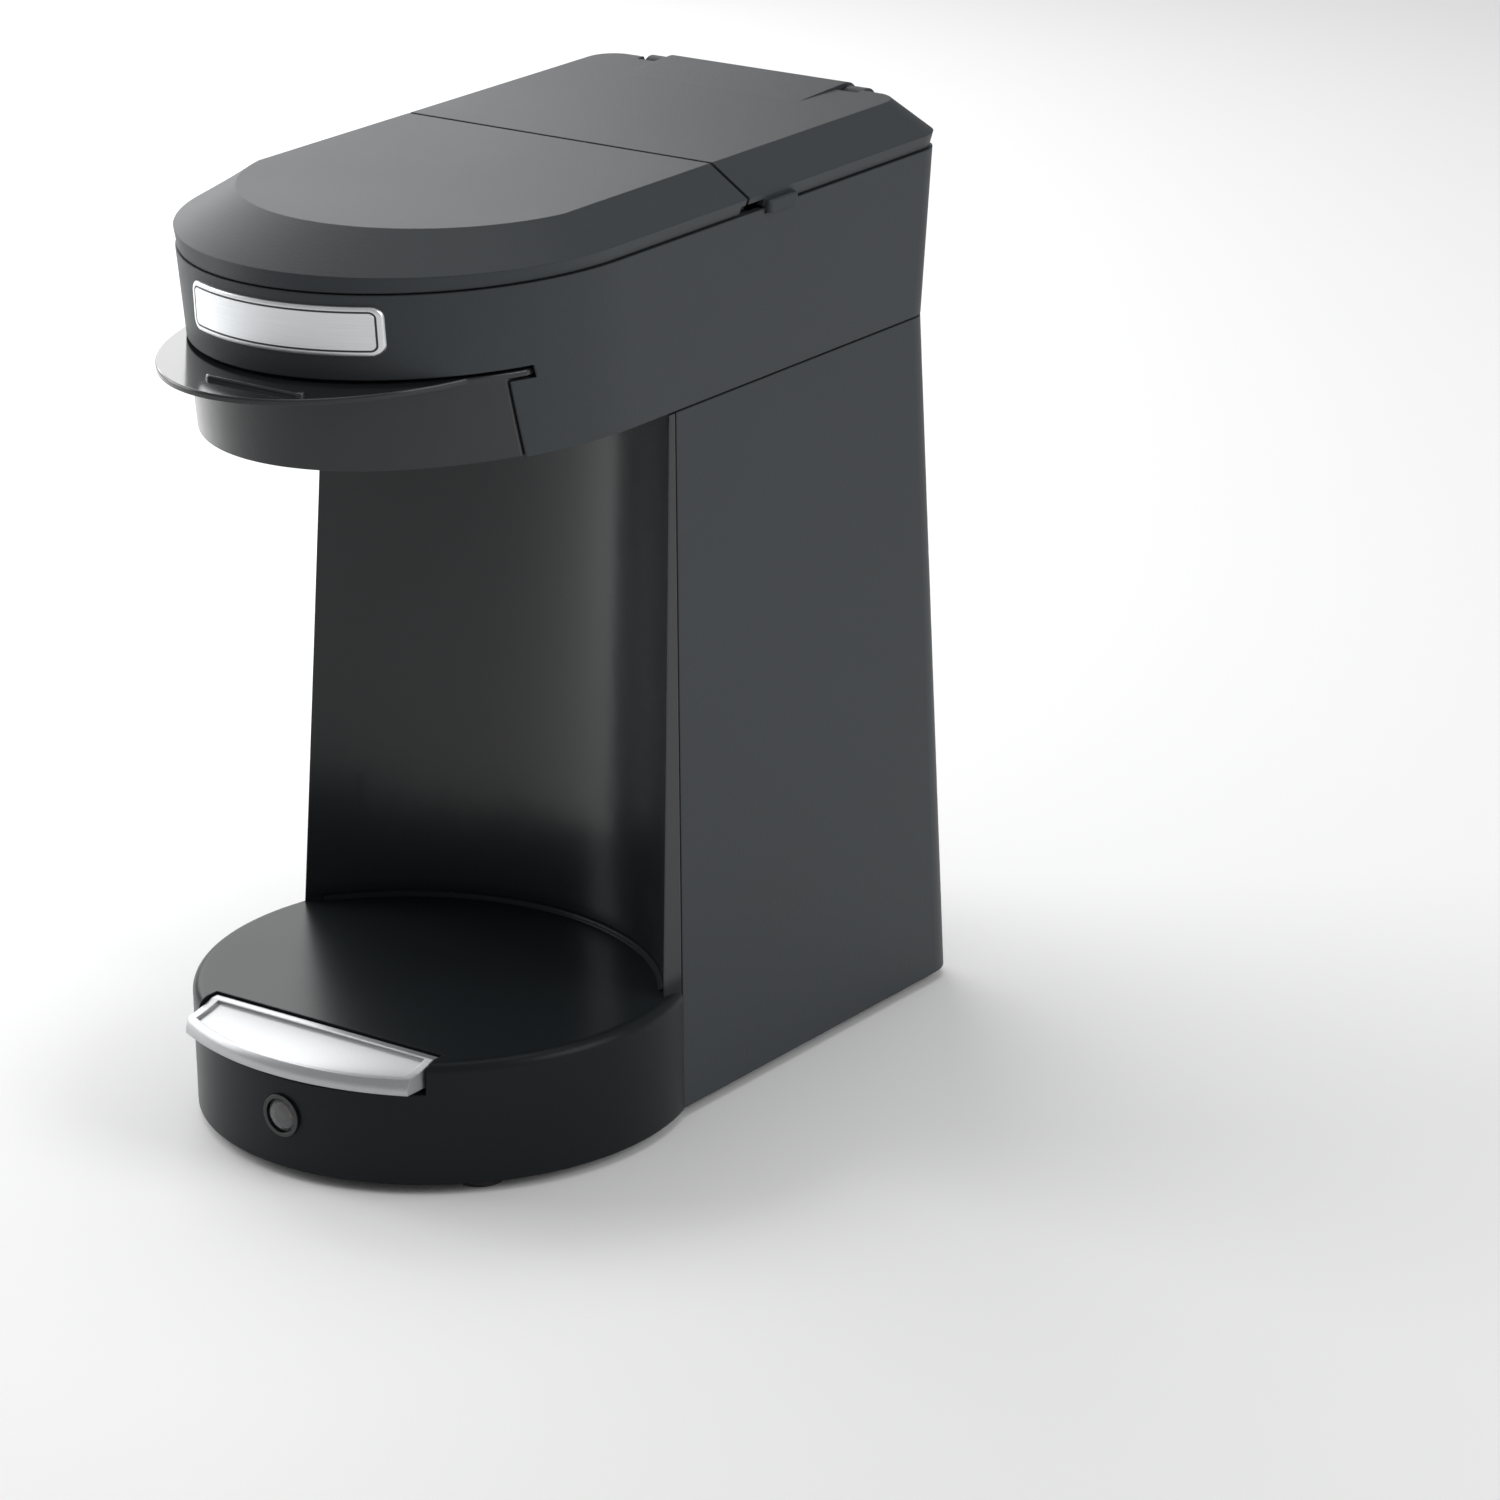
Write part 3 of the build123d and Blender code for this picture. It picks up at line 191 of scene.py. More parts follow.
class Finish(NodeSheet):
    """A material under construction, drawn in Object coordinates in metres."""

    def __init__(self, name, colour, roughness, metallic=0.0, **constants):
        self.material = bpy.data.materials.new(name)
        self.material.use_nodes = True
        self.colour = colour
        super().__init__(self.material.node_tree)
        self.shader = self.tree.nodes["Principled BSDF"]
        self.material.diffuse_color = (*colour, 1.0)
        self.feed("Base Color", (*colour, 1.0))
        self.feed("Roughness", roughness)
        self.feed("Metallic", metallic)
        for key, value in constants.items():
            self.feed(key.replace("_", " ").title().replace("Ior", "IOR"), value)
        self.place = self.node("ShaderNodeTexCoord", {}, {}, "Object")

    def feed(self, name_of_socket, value):
        self.put(self.shader.inputs[name_of_socket], value)

    def mix(self, share, first, second):
        """Colour between two colours."""
        inputs = {0: share, 6: first, 7: second}
        return self.node("ShaderNodeMix", {"data_type": "RGBA"}, inputs, 2)

    def vary_colour(self, share, dark, light):
        """Base colour from a darker to a lighter share of the finish's own colour."""
        self.feed("Base Color", self.mix(share, shade(self.colour, dark), shade(self.colour, light)))

    def stretched(self, x, y, z):
        """Object coordinates scaled along each axis."""
        return self.node("ShaderNodeMapping", {}, {"Vector": self.place, "Scale": (x, y, z)})

    def noise(self, scale, detail=2.0, vector=None):
        inputs = {"Vector": vector or self.place, "Scale": scale, "Detail": detail}
        return self.node("ShaderNodeTexNoise", {}, inputs)

    def part_of_place(self, axis):
        return self.node("ShaderNodeSeparateXYZ", {}, {0: self.place}, axis)

    def bump(self, height, depth, edge=0.0):
        """Relief of a depth in metres, over edges that are softened to a small radius."""
        inputs = {"Height": height, "Distance": depth, "Strength": 1.0}
        if edge:
            inputs["Normal"] = self.node("ShaderNodeBevel", {"samples": 4}, {"Radius": edge})
        self.feed("Normal", self.node("ShaderNodeBump", {}, inputs))


def shade(colour, share):
    """The colour made darker or lighter, with its alpha."""
    return (*[channel * share for channel in colour], 1.0)


def grained_plastic(name, colour, roughness, grain, depth, edge, **constants):
    """Moulded plastic: fine leathery grain, slow changes of tone, and a gloss that follows both."""
    finish = Finish(name, colour, roughness, **constants)
    speckle = finish.noise(grain, detail=3.0)
    cloud = finish.noise(CLOUD_SCALE, detail=3.0)
    tone = speckle * 0.35 + cloud * 0.65
    finish.vary_colour(tone, dark=0.86, light=1.16)
    finish.feed("Roughness", roughness - 0.05 + cloud * 0.06 + speckle * 0.04)
    finish.bump(speckle, depth, edge)
    return finish


def polished_bay(name, colour, platform_z, edge):
    """Satin plastic of the front frame, more polished on the bay's wall than on skirt and platform."""
    finish = Finish(name, colour, roughness=0.32, specular_ior_level=0.12, coat_roughness=0.2)
    speckle = finish.noise(700.0, detail=3.0)
    cloud = finish.noise(CLOUD_SCALE, detail=3.0)
    height = finish.part_of_place(2)
    finish.vary_colour(cloud, dark=0.86, light=1.16)
    finish.feed("Roughness", 0.29 + cloud * 0.06)
    finish.feed("Coat Weight", height.ramp(platform_z + 1.0 * MM, platform_z + 6.0 * MM) * 0.7)
    finish.bump(speckle, 0.010 * MM, edge)
    return finish


def smoky_gloss(name, colour, lip_z):
    """Basket plastic: polished on the lip, satin on the wall and cup below it."""
    finish = Finish(name, colour, roughness=0.2)
    height = finish.part_of_place(2)
    polish = height.ramp(lip_z - 1.2 * MM, lip_z - 0.6 * MM)
    haze = finish.noise(60.0, detail=3.0)
    finish.vary_colour(haze, dark=0.85, light=1.15)
    finish.feed("Roughness", 0.22 - polish * 0.12 + haze * 0.05)
    finish.bump(finish.noise(900.0), 0.006 * MM, 0.4 * MM)
    return finish


def silver_paint(name, colour):
    """Satin silver paint: fine flakes under a thin clear layer."""
    finish = Finish(name, colour, roughness=0.34, metallic=0.7, coat_roughness=0.22)
    flake = finish.noise(2600.0, detail=1.0)
    cloud = finish.noise(30.0, detail=2.0)
    finish.vary_colour(flake, dark=0.9, light=1.08)
    finish.feed("Roughness", 0.30 + cloud * 0.08)
    finish.feed("Coat Weight", 0.25 + cloud * 0.1)
    finish.bump(flake, 0.004 * MM, 0.5 * MM)
    return finish


def brushed_metal(name, colour, roughness, along, depth):
    """Metal brushed along one axis: long thin scratches in relief and roughness."""
    finish = Finish(name, colour, roughness, metallic=1.0)
    lines = finish.noise(1.0, detail=4.0, vector=finish.stretched(*along))
    finish.vary_colour(lines, dark=0.88, light=1.06)
    finish.feed("Roughness", roughness - 0.08 + lines * 0.16)
    finish.bump(lines, depth)
    return finish


def plain_metal(name, colour, roughness, grain, depth, edge=0.0):
    """Metal with a fine surface and slow changes of tone."""
    finish = Finish(name, colour, roughness, metallic=1.0)
    skin = finish.noise(grain, detail=3.0)
    cloud = finish.noise(70.0, detail=2.0)
    finish.vary_colour(cloud, dark=0.85, light=1.05)
    finish.feed("Roughness", roughness - 0.06 + cloud * 0.1 + skin * 0.04)
    finish.bump(skin, depth, edge)
    return finish


def soft_rubber(name, colour, roughness, grain, depth):
    """Rubber or silicone: dull, faintly mottled, with a soft skin."""
    finish = Finish(name, colour, roughness)
    skin = finish.noise(grain, detail=2.0)
    cloud = finish.noise(45.0, detail=2.0)
    finish.vary_colour(cloud, dark=0.88, light=1.1)
    finish.feed("Roughness", roughness - 0.05 + cloud * 0.08)
    finish.bump(skin, depth, 0.3 * MM)
    return finish


def coated_board(name, colour):
    """Circuit board: pale track lines under the green coat, and bare solder spots."""
    finish = Finish(name, colour, roughness=0.35)
    cells = {"Vector": finish.place, "Scale": 260.0}
    edge = finish.node("ShaderNodeTexVoronoi", {"feature": "DISTANCE_TO_EDGE"}, cells)
    middle = finish.node("ShaderNodeTexVoronoi", {"feature": "F1"}, cells)
    track = edge.ramp(0.05, 0.08, to_low=1.0, to_high=0.0)
    pad = middle.ramp(0.12, 0.16, to_low=1.0, to_high=0.0)
    coat = finish.mix(track, shade(colour, 0.8), shade(colour, 1.7))
    finish.feed("Base Color", finish.mix(pad, coat, SOLDER))
    finish.feed("Roughness", 0.32 + pad * 0.1)
    finish.feed("Metallic", pad)
    finish.bump(track + pad, 0.03 * MM)
    return finish


def smoked_clear(name, colour, roughness):
    """Clear smoked plastic with a faint haze."""
    finish = Finish(name, colour, roughness, transmission_weight=0.8, ior=1.49)
    haze = finish.noise(400.0, detail=2.0)
    finish.vary_colour(haze, dark=0.9, light=1.1)
    finish.feed("Roughness", roughness + haze * 0.04)
    return finish


def tinted_lamp(name, colour):
    """Tinted lamp body with a faint swirl of tone and gloss."""
    finish = Finish(name, colour, roughness=0.2)
    swirl = finish.noise(300.0, detail=2.0)
    finish.vary_colour(swirl, dark=0.75, light=1.1)
    finish.feed("Roughness", 0.16 + swirl * 0.08)
    return finish


def dress(finish, *nodes):
    """Gives CAD nodes a finish."""
    for node in nodes:
        for slot in frame["nodes"][node].material_slots:
            slot.material = finish.material


def head_front(x, z, proud):
    """The y of the head's front at x and height z, moved outwards by proud.

    The front is half an ellipse, whose half width, waist and bow change evenly from foot to top.
    """
    share = (z - HEAD_FOOT[0]) / (HEAD_TOP[0] - HEAD_FOOT[0])
    half, waist, bow = [low + share * (high - low) for low, high in zip(HEAD_FOOT[1:], HEAD_TOP[1:])]
    return waist - (bow + proud) * np.sqrt(1.0 - (x / (half + proud)) ** 2)


def rounded_outlines(half_x, half_z, corner, insets, steps):
    """Rounded rectangles drawn in by each inset, as an array of (inset, point, 2).

    Each corner is an arc round a centre that stays put until the inset passes the corner radius, then
    moves in with it; straight runs are divided evenly.
    """
    inset = np.asarray(insets)[:, None]
    reach = np.maximum(corner, inset)
    radius = np.maximum(corner - inset, 0.0)
    runs = []
    corners = [(1, 1), (-1, 1), (-1, -1), (1, -1)]
    for turn, (side_x, side_z) in enumerate(corners):
        angle = math.pi / 2 * turn + np.linspace(0.0, math.pi / 2, steps // 2)[None, :]
        arc_x = side_x * (half_x - reach) + radius * np.cos(angle)
        arc_z = side_z * (half_z - reach) + radius * np.sin(angle)
        next_x, next_z = corners[(turn + 1) % len(corners)]
        end_angle = math.pi / 2 * (turn + 1)
        start = np.stack([arc_x[:, -1], arc_z[:, -1]], -1)
        end = np.concatenate([next_x * (half_x - reach) + radius * math.cos(end_angle),
                              next_z * (half_z - reach) + radius * math.sin(end_angle)], -1)
        share = np.linspace(0.0, 1.0, 2 * steps)[1:-1][None, :, None]
        run = start[:, None] * (1.0 - share) + end[:, None] * share
        runs += [np.stack([arc_x, arc_z], -1), run]
    return np.concatenate(runs, axis=1)


def grid_mesh(name, points, wrap_rows=False, wrap_columns=False, sharp=30.0):
    """Mesh of quads over a grid of points (row, column, 3), merged at its seams and poles."""
    rows, columns = points.shape[:2]
    index = np.arange(rows * columns).reshape(rows, columns)
    if wrap_rows:
        index = np.vstack([index, index[:1]])
    if wrap_columns:
        index = np.hstack([index, index[:, :1]])
    quads = np.stack([index[:-1, :-1], index[:-1, 1:], index[1:, 1:], index[1:, :-1]], -1).reshape(-1, 4)
    mesh = bpy.data.meshes.new(name)
    mesh.from_pydata(points.reshape(-1, 3), [], quads)
    work = bmesh.new()
    work.from_mesh(mesh)
    bmesh.ops.remove_doubles(work, verts=work.verts, dist=SAME_POINT)
    bmesh.ops.dissolve_degenerate(work, edges=work.edges, dist=SHORTEST_EDGE)
    bmesh.ops.recalc_face_normals(work, faces=work.faces)
    work.to_mesh(mesh)
    work.free()
    mesh.shade_smooth()
    mesh.set_sharp_from_angle(angle=math.radians(sharp))
    return mesh


def add_piece(mesh, finish, body, slot, *nodes):
    """Adds a mesh as a piece that rides on a body and may stand for CAD nodes; its slot is not used."""
    piece = bpy.data.objects.new(mesh.name, mesh)
    bpy.context.scene.collection.objects.link(piece)
    mesh.materials.append(finish.material)
    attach(piece, body)
    if nodes:
        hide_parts(*nodes)
    return piece


def badge_mesh(name, sizes, profile, closed):
    """A profile of (inset, proud) pairs carried round the badge's outline, bent to the head's front."""
    insets, proud = np.array(profile).T
    flat = rounded_outlines(sizes.width / 2, sizes.height / 2, sizes.corner, insets, sizes.steps)
    x = flat[..., 0] + sizes.middle_x
    z = flat[..., 1] + sizes.middle_z
    y = head_front(x, z, proud[:, None])
    return grid_mesh(name, np.stack([x, y, z], -1), wrap_rows=closed, wrap_columns=True)


def badge_profile(sizes):
    """From the middle of its back to the edge, shoulder, border groove and the middle of its front.

    The shoulder is two short bevels, which end 0.3 mm in from the edge.
    """
    top = sizes.thickness
    inset = sizes.border_inset
    groove = top - sizes.groove_depth
    past = inset + sizes.border_width
    slope = 0.05 * MM
    middle = sizes.height / 2
    shoulder = [(0.0, top * 0.6), (0.08 * MM, top * 0.85), (0.3 * MM, top)]
    back = [(step, 0.0) for step in np.linspace(middle, 0.0, sizes.steps)]
    field = [(step, top) for step in np.linspace(past + slope, middle, sizes.steps)]
    return [*back, *shoulder, (inset - slope, top), (inset, groove), (past, groove), *field]


def border_profile(sizes):
    """Dark inlay that fills a share of the depth of the badge's groove."""
    low = sizes.thickness - sizes.groove_depth
    high = low + sizes.groove_depth * BORDER_FILL
    inset = sizes.border_inset
    past = inset + sizes.border_width
    return [(inset, low), (inset, high), (past, high), (past, low)]


def lens_mesh(name, sizes):
    """Rings of facets round the lens axis, each with a radius, a y, and a turn in half steps."""
    low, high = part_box("indicator_lens")
    radius = (high.x - low.x) / 2
    rings = [(0.0, high.y, 0), (radius, high.y, 0), (radius, low.y + sizes.crown, 0),
             (radius * sizes.break_share, low.y + sizes.break_depth, 1),
             (radius * sizes.table_share, low.y, 0), (0.0, low.y, 0)]
    ring, depth, turn = np.array(rings).T
    step = 2 * math.pi / sizes.facets
    angle = step * np.arange(sizes.facets)[None, :] + step / 2 * turn[:, None]
    x = ring[:, None] * np.cos(angle)
    z = (low.z + high.z) / 2 + ring[:, None] * np.sin(angle)
    y = np.broadcast_to(depth[:, None], x.shape)
    return grid_mesh(name, np.stack([x, y, z], -1), wrap_columns=True, sharp=5.0)


def capped(rings):
    """Rings of points with a row at the middle of the first and the last ring, which closes both ends."""
    middle = np.broadcast_to(rings.mean(1, keepdims=True), rings.shape)
    return np.concatenate([middle[:1], rings, middle[-1:]])


def cove_mesh(name, sizes):
    """Concave quarter round carried along the bay wall's arc, with its back just inside the frame."""
    turn = np.linspace(0.0, math.pi / 2, sizes.steps)
    from_wall = np.concatenate([sizes.radius * (1.0 - np.sin(turn)), [-COVE_SUNK]])
    height = np.concatenate([sizes.radius * (1.0 - np.cos(turn)), [-COVE_SUNK]])
    reach = math.asin(COVE_HALF_X / BAY_RADIUS)
    angle = np.linspace(-reach, reach, COVE_LENGTH_STEPS * sizes.steps)[:, None]
    radius = BAY_RADIUS - from_wall[None, :]
    x = radius * np.sin(angle)
    y = BAY_CENTRE_Y + radius * np.cos(angle)
    z = np.broadcast_to(PLATFORM_Z + height[None, :], x.shape)
    return grid_mesh(name, capped(np.stack([x, y, z], -1)), wrap_columns=True)


def spring_mesh(name, turns, wire):
    """Round wire carried up a helix of even pitch, inside the box of the CAD spring, with closed ends."""
    low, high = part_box("button_spring")
    middle_x, middle_y = (low.x + high.x) / 2, (low.y + high.y) / 2
    share = np.linspace(0.0, 1.0, SPRING_STEPS * turns + 1)[:, None]
    round_wire = np.linspace(0.0, 2 * math.pi, SPRING_SIDES, endpoint=False)[None, :]
    angle = 2 * math.pi * turns * share
    reach = (high.x - low.x) / 2 - wire + wire * np.cos(round_wire)
    x = middle_x + reach * np.cos(angle)
    y = middle_y + reach * np.sin(angle)
    z = low.z + wire + (high.z - low.z - 2 * wire) * share + wire * np.sin(round_wire)
    return grid_mesh(name, capped(np.stack([x, y, z], -1)), wrap_columns=True)


class FinishColours(bpy.types.PropertyGroup):
    """Colours of the finishes."""

    shell: FloatVectorProperty(name="Shell", description="Grained charcoal plastic of the head and back",
                               subtype="COLOR", min=0.0, max=1.0, default=(0.038, 0.0435, 0.0485))
    frame: FloatVectorProperty(name="Frame", description="Satin plastic of the bay, platform and skirt",
                               subtype="COLOR", min=0.0, max=1.0, default=(0.010, 0.0125, 0.0143))
    basket: FloatVectorProperty(name="Basket", description="Smoky black plastic of the brew basket",
                                subtype="COLOR", min=0.0, max=1.0, default=(0.0165, 0.0190, 0.021))
    button: FloatVectorProperty(name="Button", description="Silver paint of the power button",
                                subtype="COLOR", min=0.0, max=1.0, default=(0.42, 0.43, 0.44))
    badge: FloatVectorProperty(name="Badge", description="Brushed metal of the blank badge",
                               subtype="COLOR", min=0.0, max=1.0, default=(0.80, 0.82, 0.84))
    lens: FloatVectorProperty(name="Lens", description="Smoked clear plastic of the indicator",
                              subtype="COLOR", min=0.0, max=1.0, default=(0.35, 0.36, 0.37))


class BadgeSizes(bpy.types.PropertyGroup):
    """Sizes of the blank badge on the head's front."""

    middle_x: FloatProperty(name="Middle X", description="Sideways place of its middle", unit="LENGTH",
                            default=(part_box("badge_plate")[0].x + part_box("badge_plate")[1].x) / 2)
    middle_z: FloatProperty(name="Middle Z", description="Height of its middle", unit="LENGTH",
                            default=(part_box("badge_plate")[0].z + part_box("badge_plate")[1].z) / 2)
    width: FloatProperty(name="Width", description="Width across the head", unit="LENGTH",
                         default=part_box("badge_plate")[1].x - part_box("badge_plate")[0].x)
    height: FloatProperty(name="Height", description="Height up the head", unit="LENGTH",
                          default=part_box("badge_plate")[1].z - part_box("badge_plate")[0].z)
    thickness: FloatProperty(name="Thickness", description="How far it stands off the wall",
                             unit="LENGTH", default=0.8 * MM)
    corner: FloatProperty(name="Corner", description="Corner radius", unit="LENGTH", default=3.0 * MM)
    border_inset: FloatProperty(name="Border inset", description="From the edge to the border line",
                                unit="LENGTH", default=1.2 * MM)
    border_width: FloatProperty(name="Border width", description="Width of the border line",
                                unit="LENGTH", default=0.45 * MM)
    groove_depth: FloatProperty(name="Groove depth", description="Depth of the border's groove",
                                unit="LENGTH", default=0.2 * MM)
    steps: IntProperty(name="Steps", description="Fineness of its outline", min=8, default=20)


class LensSizes(bpy.types.PropertyGroup):
    """Cut of the indicator's faceted lens."""

    facets: IntProperty(name="Facets", description="Facets round the lens", min=6, default=10)
    table_share: FloatProperty(name="Table", description="Flat middle, as a share of the radius",
                               min=0.1, max=0.9, default=0.42, subtype="FACTOR")
    break_share: FloatProperty(name="Break", description="Facets' break, as a share of the radius",
                               min=0.5, max=0.95, default=0.80, subtype="FACTOR")
    break_depth: FloatProperty(name="Break depth", description="From the flat middle back to the break",
                               unit="LENGTH", default=0.45 * MM)
    crown: FloatProperty(name="Crown", description="From the flat middle back to the lens's rim",
                         unit="LENGTH", default=1.1 * MM)


class CoveSizes(bpy.types.PropertyGroup):
    """Small cove where the bay wall meets the platform."""

    radius: FloatProperty(name="Radius", description="Radius of the cove", unit="LENGTH",
                          default=1.6 * MM)
    steps: IntProperty(name="Steps", description="Fineness of its curve", min=4, default=8)


class StageSettings(bpy.types.PropertyGroup):
    """Floor, sky and camera."""

    floor_colour: FloatVectorProperty(name="Floor", description="Colour of the floor", subtype="COLOR",
                                      min=0.0, max=1.0, default=(0.93, 0.93, 0.93))
    sky: FloatProperty(name="Sky", description="Strength of the even light from all sides", default=0.3)
    mirrored_sky: FloatProperty(name="Mirrored sky", subtype="FACTOR", min=0.0, max=1.0, default=0.1,
                                description="Share of the white backdrop in reflections")
    lens: FloatProperty(name="Lens", description="Focal length in millimetres", default=141.64)
    azimuth: FloatProperty(name="Azimuth", description="Camera's turn to the right of the front",
                           subtype="ANGLE", default=math.radians(37.02))
    elevation: FloatProperty(name="Elevation", description="Camera's angle above the horizon",
                             subtype="ANGLE", default=math.radians(19.867))
    roll: FloatProperty(name="Roll", description="Camera's roll", subtype="ANGLE",
                        default=math.radians(-1.072))
    distance: FloatProperty(name="Distance", description="From the aim point to the camera",
                            unit="LENGTH", default=1.626233)
    aim_z: FloatProperty(name="Aim height", description="Height of the aim point", unit="LENGTH",
                         default=0.130)
    shift_right: FloatProperty(name="Right", description="Camera's move to its right", unit="LENGTH",
                               default=0.064609)
    shift_up: FloatProperty(name="Up", description="Camera's move upwards", unit="LENGTH",
                            default=-0.036972)


class CoffeeMakerSettings(bpy.types.PropertyGroup):
    """Everything that a user may change."""

    colours: PointerProperty(type=FinishColours)
    badge: PointerProperty(type=BadgeSizes)
    lens: PointerProperty(type=LensSizes)
    cove: PointerProperty(type=CoveSizes)
    stage: PointerProperty(type=StageSettings)


def settings():
    return bpy.context.scene.coffee_maker


class HousingFinish(bpy.types.Operator):
    """Finish the housing, lid and front frame, and add the cove at the platform"""

    bl_idname = "coffee_maker.housing"
    bl_label = "Housing"

    def execute(self, context):
        colours = settings().colours
        shell = grained_plastic("charcoal_grain", colours.shell, roughness=0.50, grain=1100.0,
                                depth=0.05 * MM, edge=0.5 * MM, specular_ior_level=0.26)
        dress(shell, "rear_shell", "upper_housing", "top_cover", "reservoir_lid")
        satin = polished_bay("charcoal_satin", colours.frame, PLATFORM_Z, edge=0.7 * MM)
        dress(satin, "front_frame")
        inner = grained_plastic("inner_black", INNER_BLACK, roughness=0.5, grain=900.0,
                                depth=0.03 * MM, edge=0.3 * MM)
        dress(inner, "base_plate", "head_floor", "brew_plate", "spray_head", "cord_inlet")
        add_piece(cove_mesh("bay_cove", settings().cove), satin, "housing", "charcoal_satin")
        return {"FINISHED"}


class BasketFinish(bpy.types.Operator):
    """Finish the brew basket, its screen and the gasket over it"""

    bl_idname = "coffee_maker.basket"
    bl_label = "Brew basket"

    def execute(self, context):
        lip_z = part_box("brew_basket")[1].z - RIDGE_TO_LIP_FOOT
        dress(smoky_gloss("basket_smoke", settings().colours.basket, lip_z), "brew_basket")
        screen = brushed_metal("screen_steel", STEEL, roughness=0.3, along=(900.0, 40.0, 40.0),
                               depth=0.01 * MM)
        dress(screen, "pod_screen")
        gasket = soft_rubber("gasket_silicone", GASKET_GREY, roughness=0.6, grain=700.0, depth=0.02 * MM)
        dress(gasket, "spray_gasket")
        return {"FINISHED"}


class WaterPathFinish(bpy.types.Operator):
    """Finish the tank, strainer, hoses, valve and clamps"""

    bl_idname = "coffee_maker.water_path"
    bl_label = "Water path"

    def execute(self, context):
        tank = grained_plastic("tank_smoke", TANK_SMOKE, roughness=0.4, grain=500.0,
                               depth=0.02 * MM, edge=0.6 * MM)
        dress(tank, "water_reservoir", "reservoir_strainer")
        tube = soft_rubber("hose_silicone", HOSE_WHITE, roughness=0.45, grain=500.0, depth=0.02 * MM)
        dress(tube, "upper_inlet_hose", "lower_inlet_hose", "riser_hose")
        valve = grained_plastic("valve_white", VALVE_WHITE, roughness=0.4, grain=800.0,
                                depth=0.02 * MM, edge=0.3 * MM)
        dress(valve, "check_valve")
        steel = plain_metal("spring_steel", STEEL, roughness=0.3, grain=900.0, depth=0.01 * MM,
                            edge=0.2 * MM)
        dress(steel, "check_ball", "hose_clamps", "hinge_pin", "base_screws", "neck_screws",
              "heater_bracket")
        return {"FINISHED"}


class HeaterFinish(bpy.types.Operator):
    """Finish the heater, its tube and element, and its cut-outs"""

    bl_idname = "coffee_maker.heater"
    bl_label = "Heater"

    def execute(self, context):
        casting = plain_metal("cast_aluminium", CAST_ALUMINIUM, roughness=0.48, grain=420.0,
                              depth=0.12 * MM, edge=0.8 * MM)
        dress(casting, "heater_casting")
        tube = plain_metal("tube_aluminium", TUBE_ALUMINIUM, roughness=0.32, grain=1500.0,
                           depth=0.01 * MM)
        dress(tube, "water_tube")
        sheath = plain_metal("element_sheath", ELEMENT_SHEATH, roughness=0.42, grain=800.0,
                             depth=0.02 * MM)
        dress(sheath, "heating_element")
        can = plain_metal("thermostat_steel", THERMOSTAT_STEEL, roughness=0.36, grain=700.0,
                          depth=0.02 * MM, edge=0.3 * MM)
        dress(can, "thermostat")
        brass = plain_metal("fuse_brass", FUSE_BRASS, roughness=0.34, grain=900.0, depth=0.02 * MM,
                            edge=0.2 * MM)
        dress(brass, "thermal_fuses")
        return {"FINISHED"}


class ControlsFinish(bpy.types.Operator):
    """Finish the controls and feet, coil the button's spring and cut the indicator's lens"""

    bl_idname = "coffee_maker.controls"
    bl_label = "Controls"

    def execute(self, context):
        colours = settings().colours
        dress(silver_paint("button_silver", colours.button), "power_button")
        dress(coated_board("board_coat", BOARD_GREEN), "control_board")
        coil_steel = plain_metal("coil_steel", STEEL, roughness=0.3, grain=900.0, depth=0.01 * MM,
                                 edge=0.1 * MM)
        dress(coil_steel, "button_spring")
        coil = add_piece(spring_mesh("button_coil", SPRING_TURNS, SPRING_WIRE), coil_steel, "housing",
                         "steel", "button_spring")
        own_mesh(coil)
        black = grained_plastic("switch_black", SWITCH_BLACK, roughness=0.4, grain=900.0,
                                depth=0.02 * MM, edge=0.3 * MM)
        dress(black, "micro_switch")
        gloss = grained_plastic("bezel_black", BEZEL_BLACK, roughness=0.14, grain=500.0,
                                depth=0.003 * MM, edge=0.4 * MM)
        dress(gloss, "indicator_bezel")
        dress(tinted_lamp("lamp_red", LAMP_RED), "indicator_lamp")
        foot = soft_rubber("foot_rubber", FOOT_BLACK, roughness=0.75, grain=900.0, depth=0.05 * MM)
        dress(foot, "rubber_feet")
        clear = smoked_clear("lens_smoke", colours.lens, roughness=0.06)
        dress(clear, "indicator_lens")
        add_piece(lens_mesh("faceted_lens", settings().lens), clear, "housing", "lens_clear",
                  "indicator_lens")
        return {"FINISHED"}


class BadgeFinish(bpy.types.Operator):
    """Make the blank badge with its grooved border"""

    bl_idname = "coffee_maker.badge"
    bl_label = "Badge"

    def execute(self, context):
        sizes = settings().badge
        metal = brushed_metal("badge_brushed", settings().colours.badge, roughness=0.36,
                              along=(60.0, 60.0, 2600.0), depth=0.004 * MM)
        dress(metal, "badge_plate")
        plate = badge_mesh("badge_face", sizes, badge_profile(sizes), closed=False)
        add_piece(plate, metal, "housing", "badge_silver", "badge_plate")
        ink = grained_plastic("border_ink", BORDER_BLACK, roughness=0.4, grain=900.0,
                              depth=0.002 * MM, edge=0.0)
        border = badge_mesh("badge_border", sizes, border_profile(sizes), closed=True)
        add_piece(border, ink, "housing", "charcoal_satin")
        return {"FINISHED"}


def add_lamp(name, place, aim, size, power):
    """Square soft lamp at a place, turned to its aim point."""
    data = bpy.data.lights.new(name, "AREA")
    data.size = size
    data.energy = power
    lamp = bpy.data.objects.new(name, data)
    lamp.location = place
    lamp.rotation_mode = "QUATERNION"
    lamp.rotation_quaternion = (Vector(aim) - Vector(place)).to_track_quat("-Z", "Y")
    bpy.context.scene.collection.objects.link(lamp)


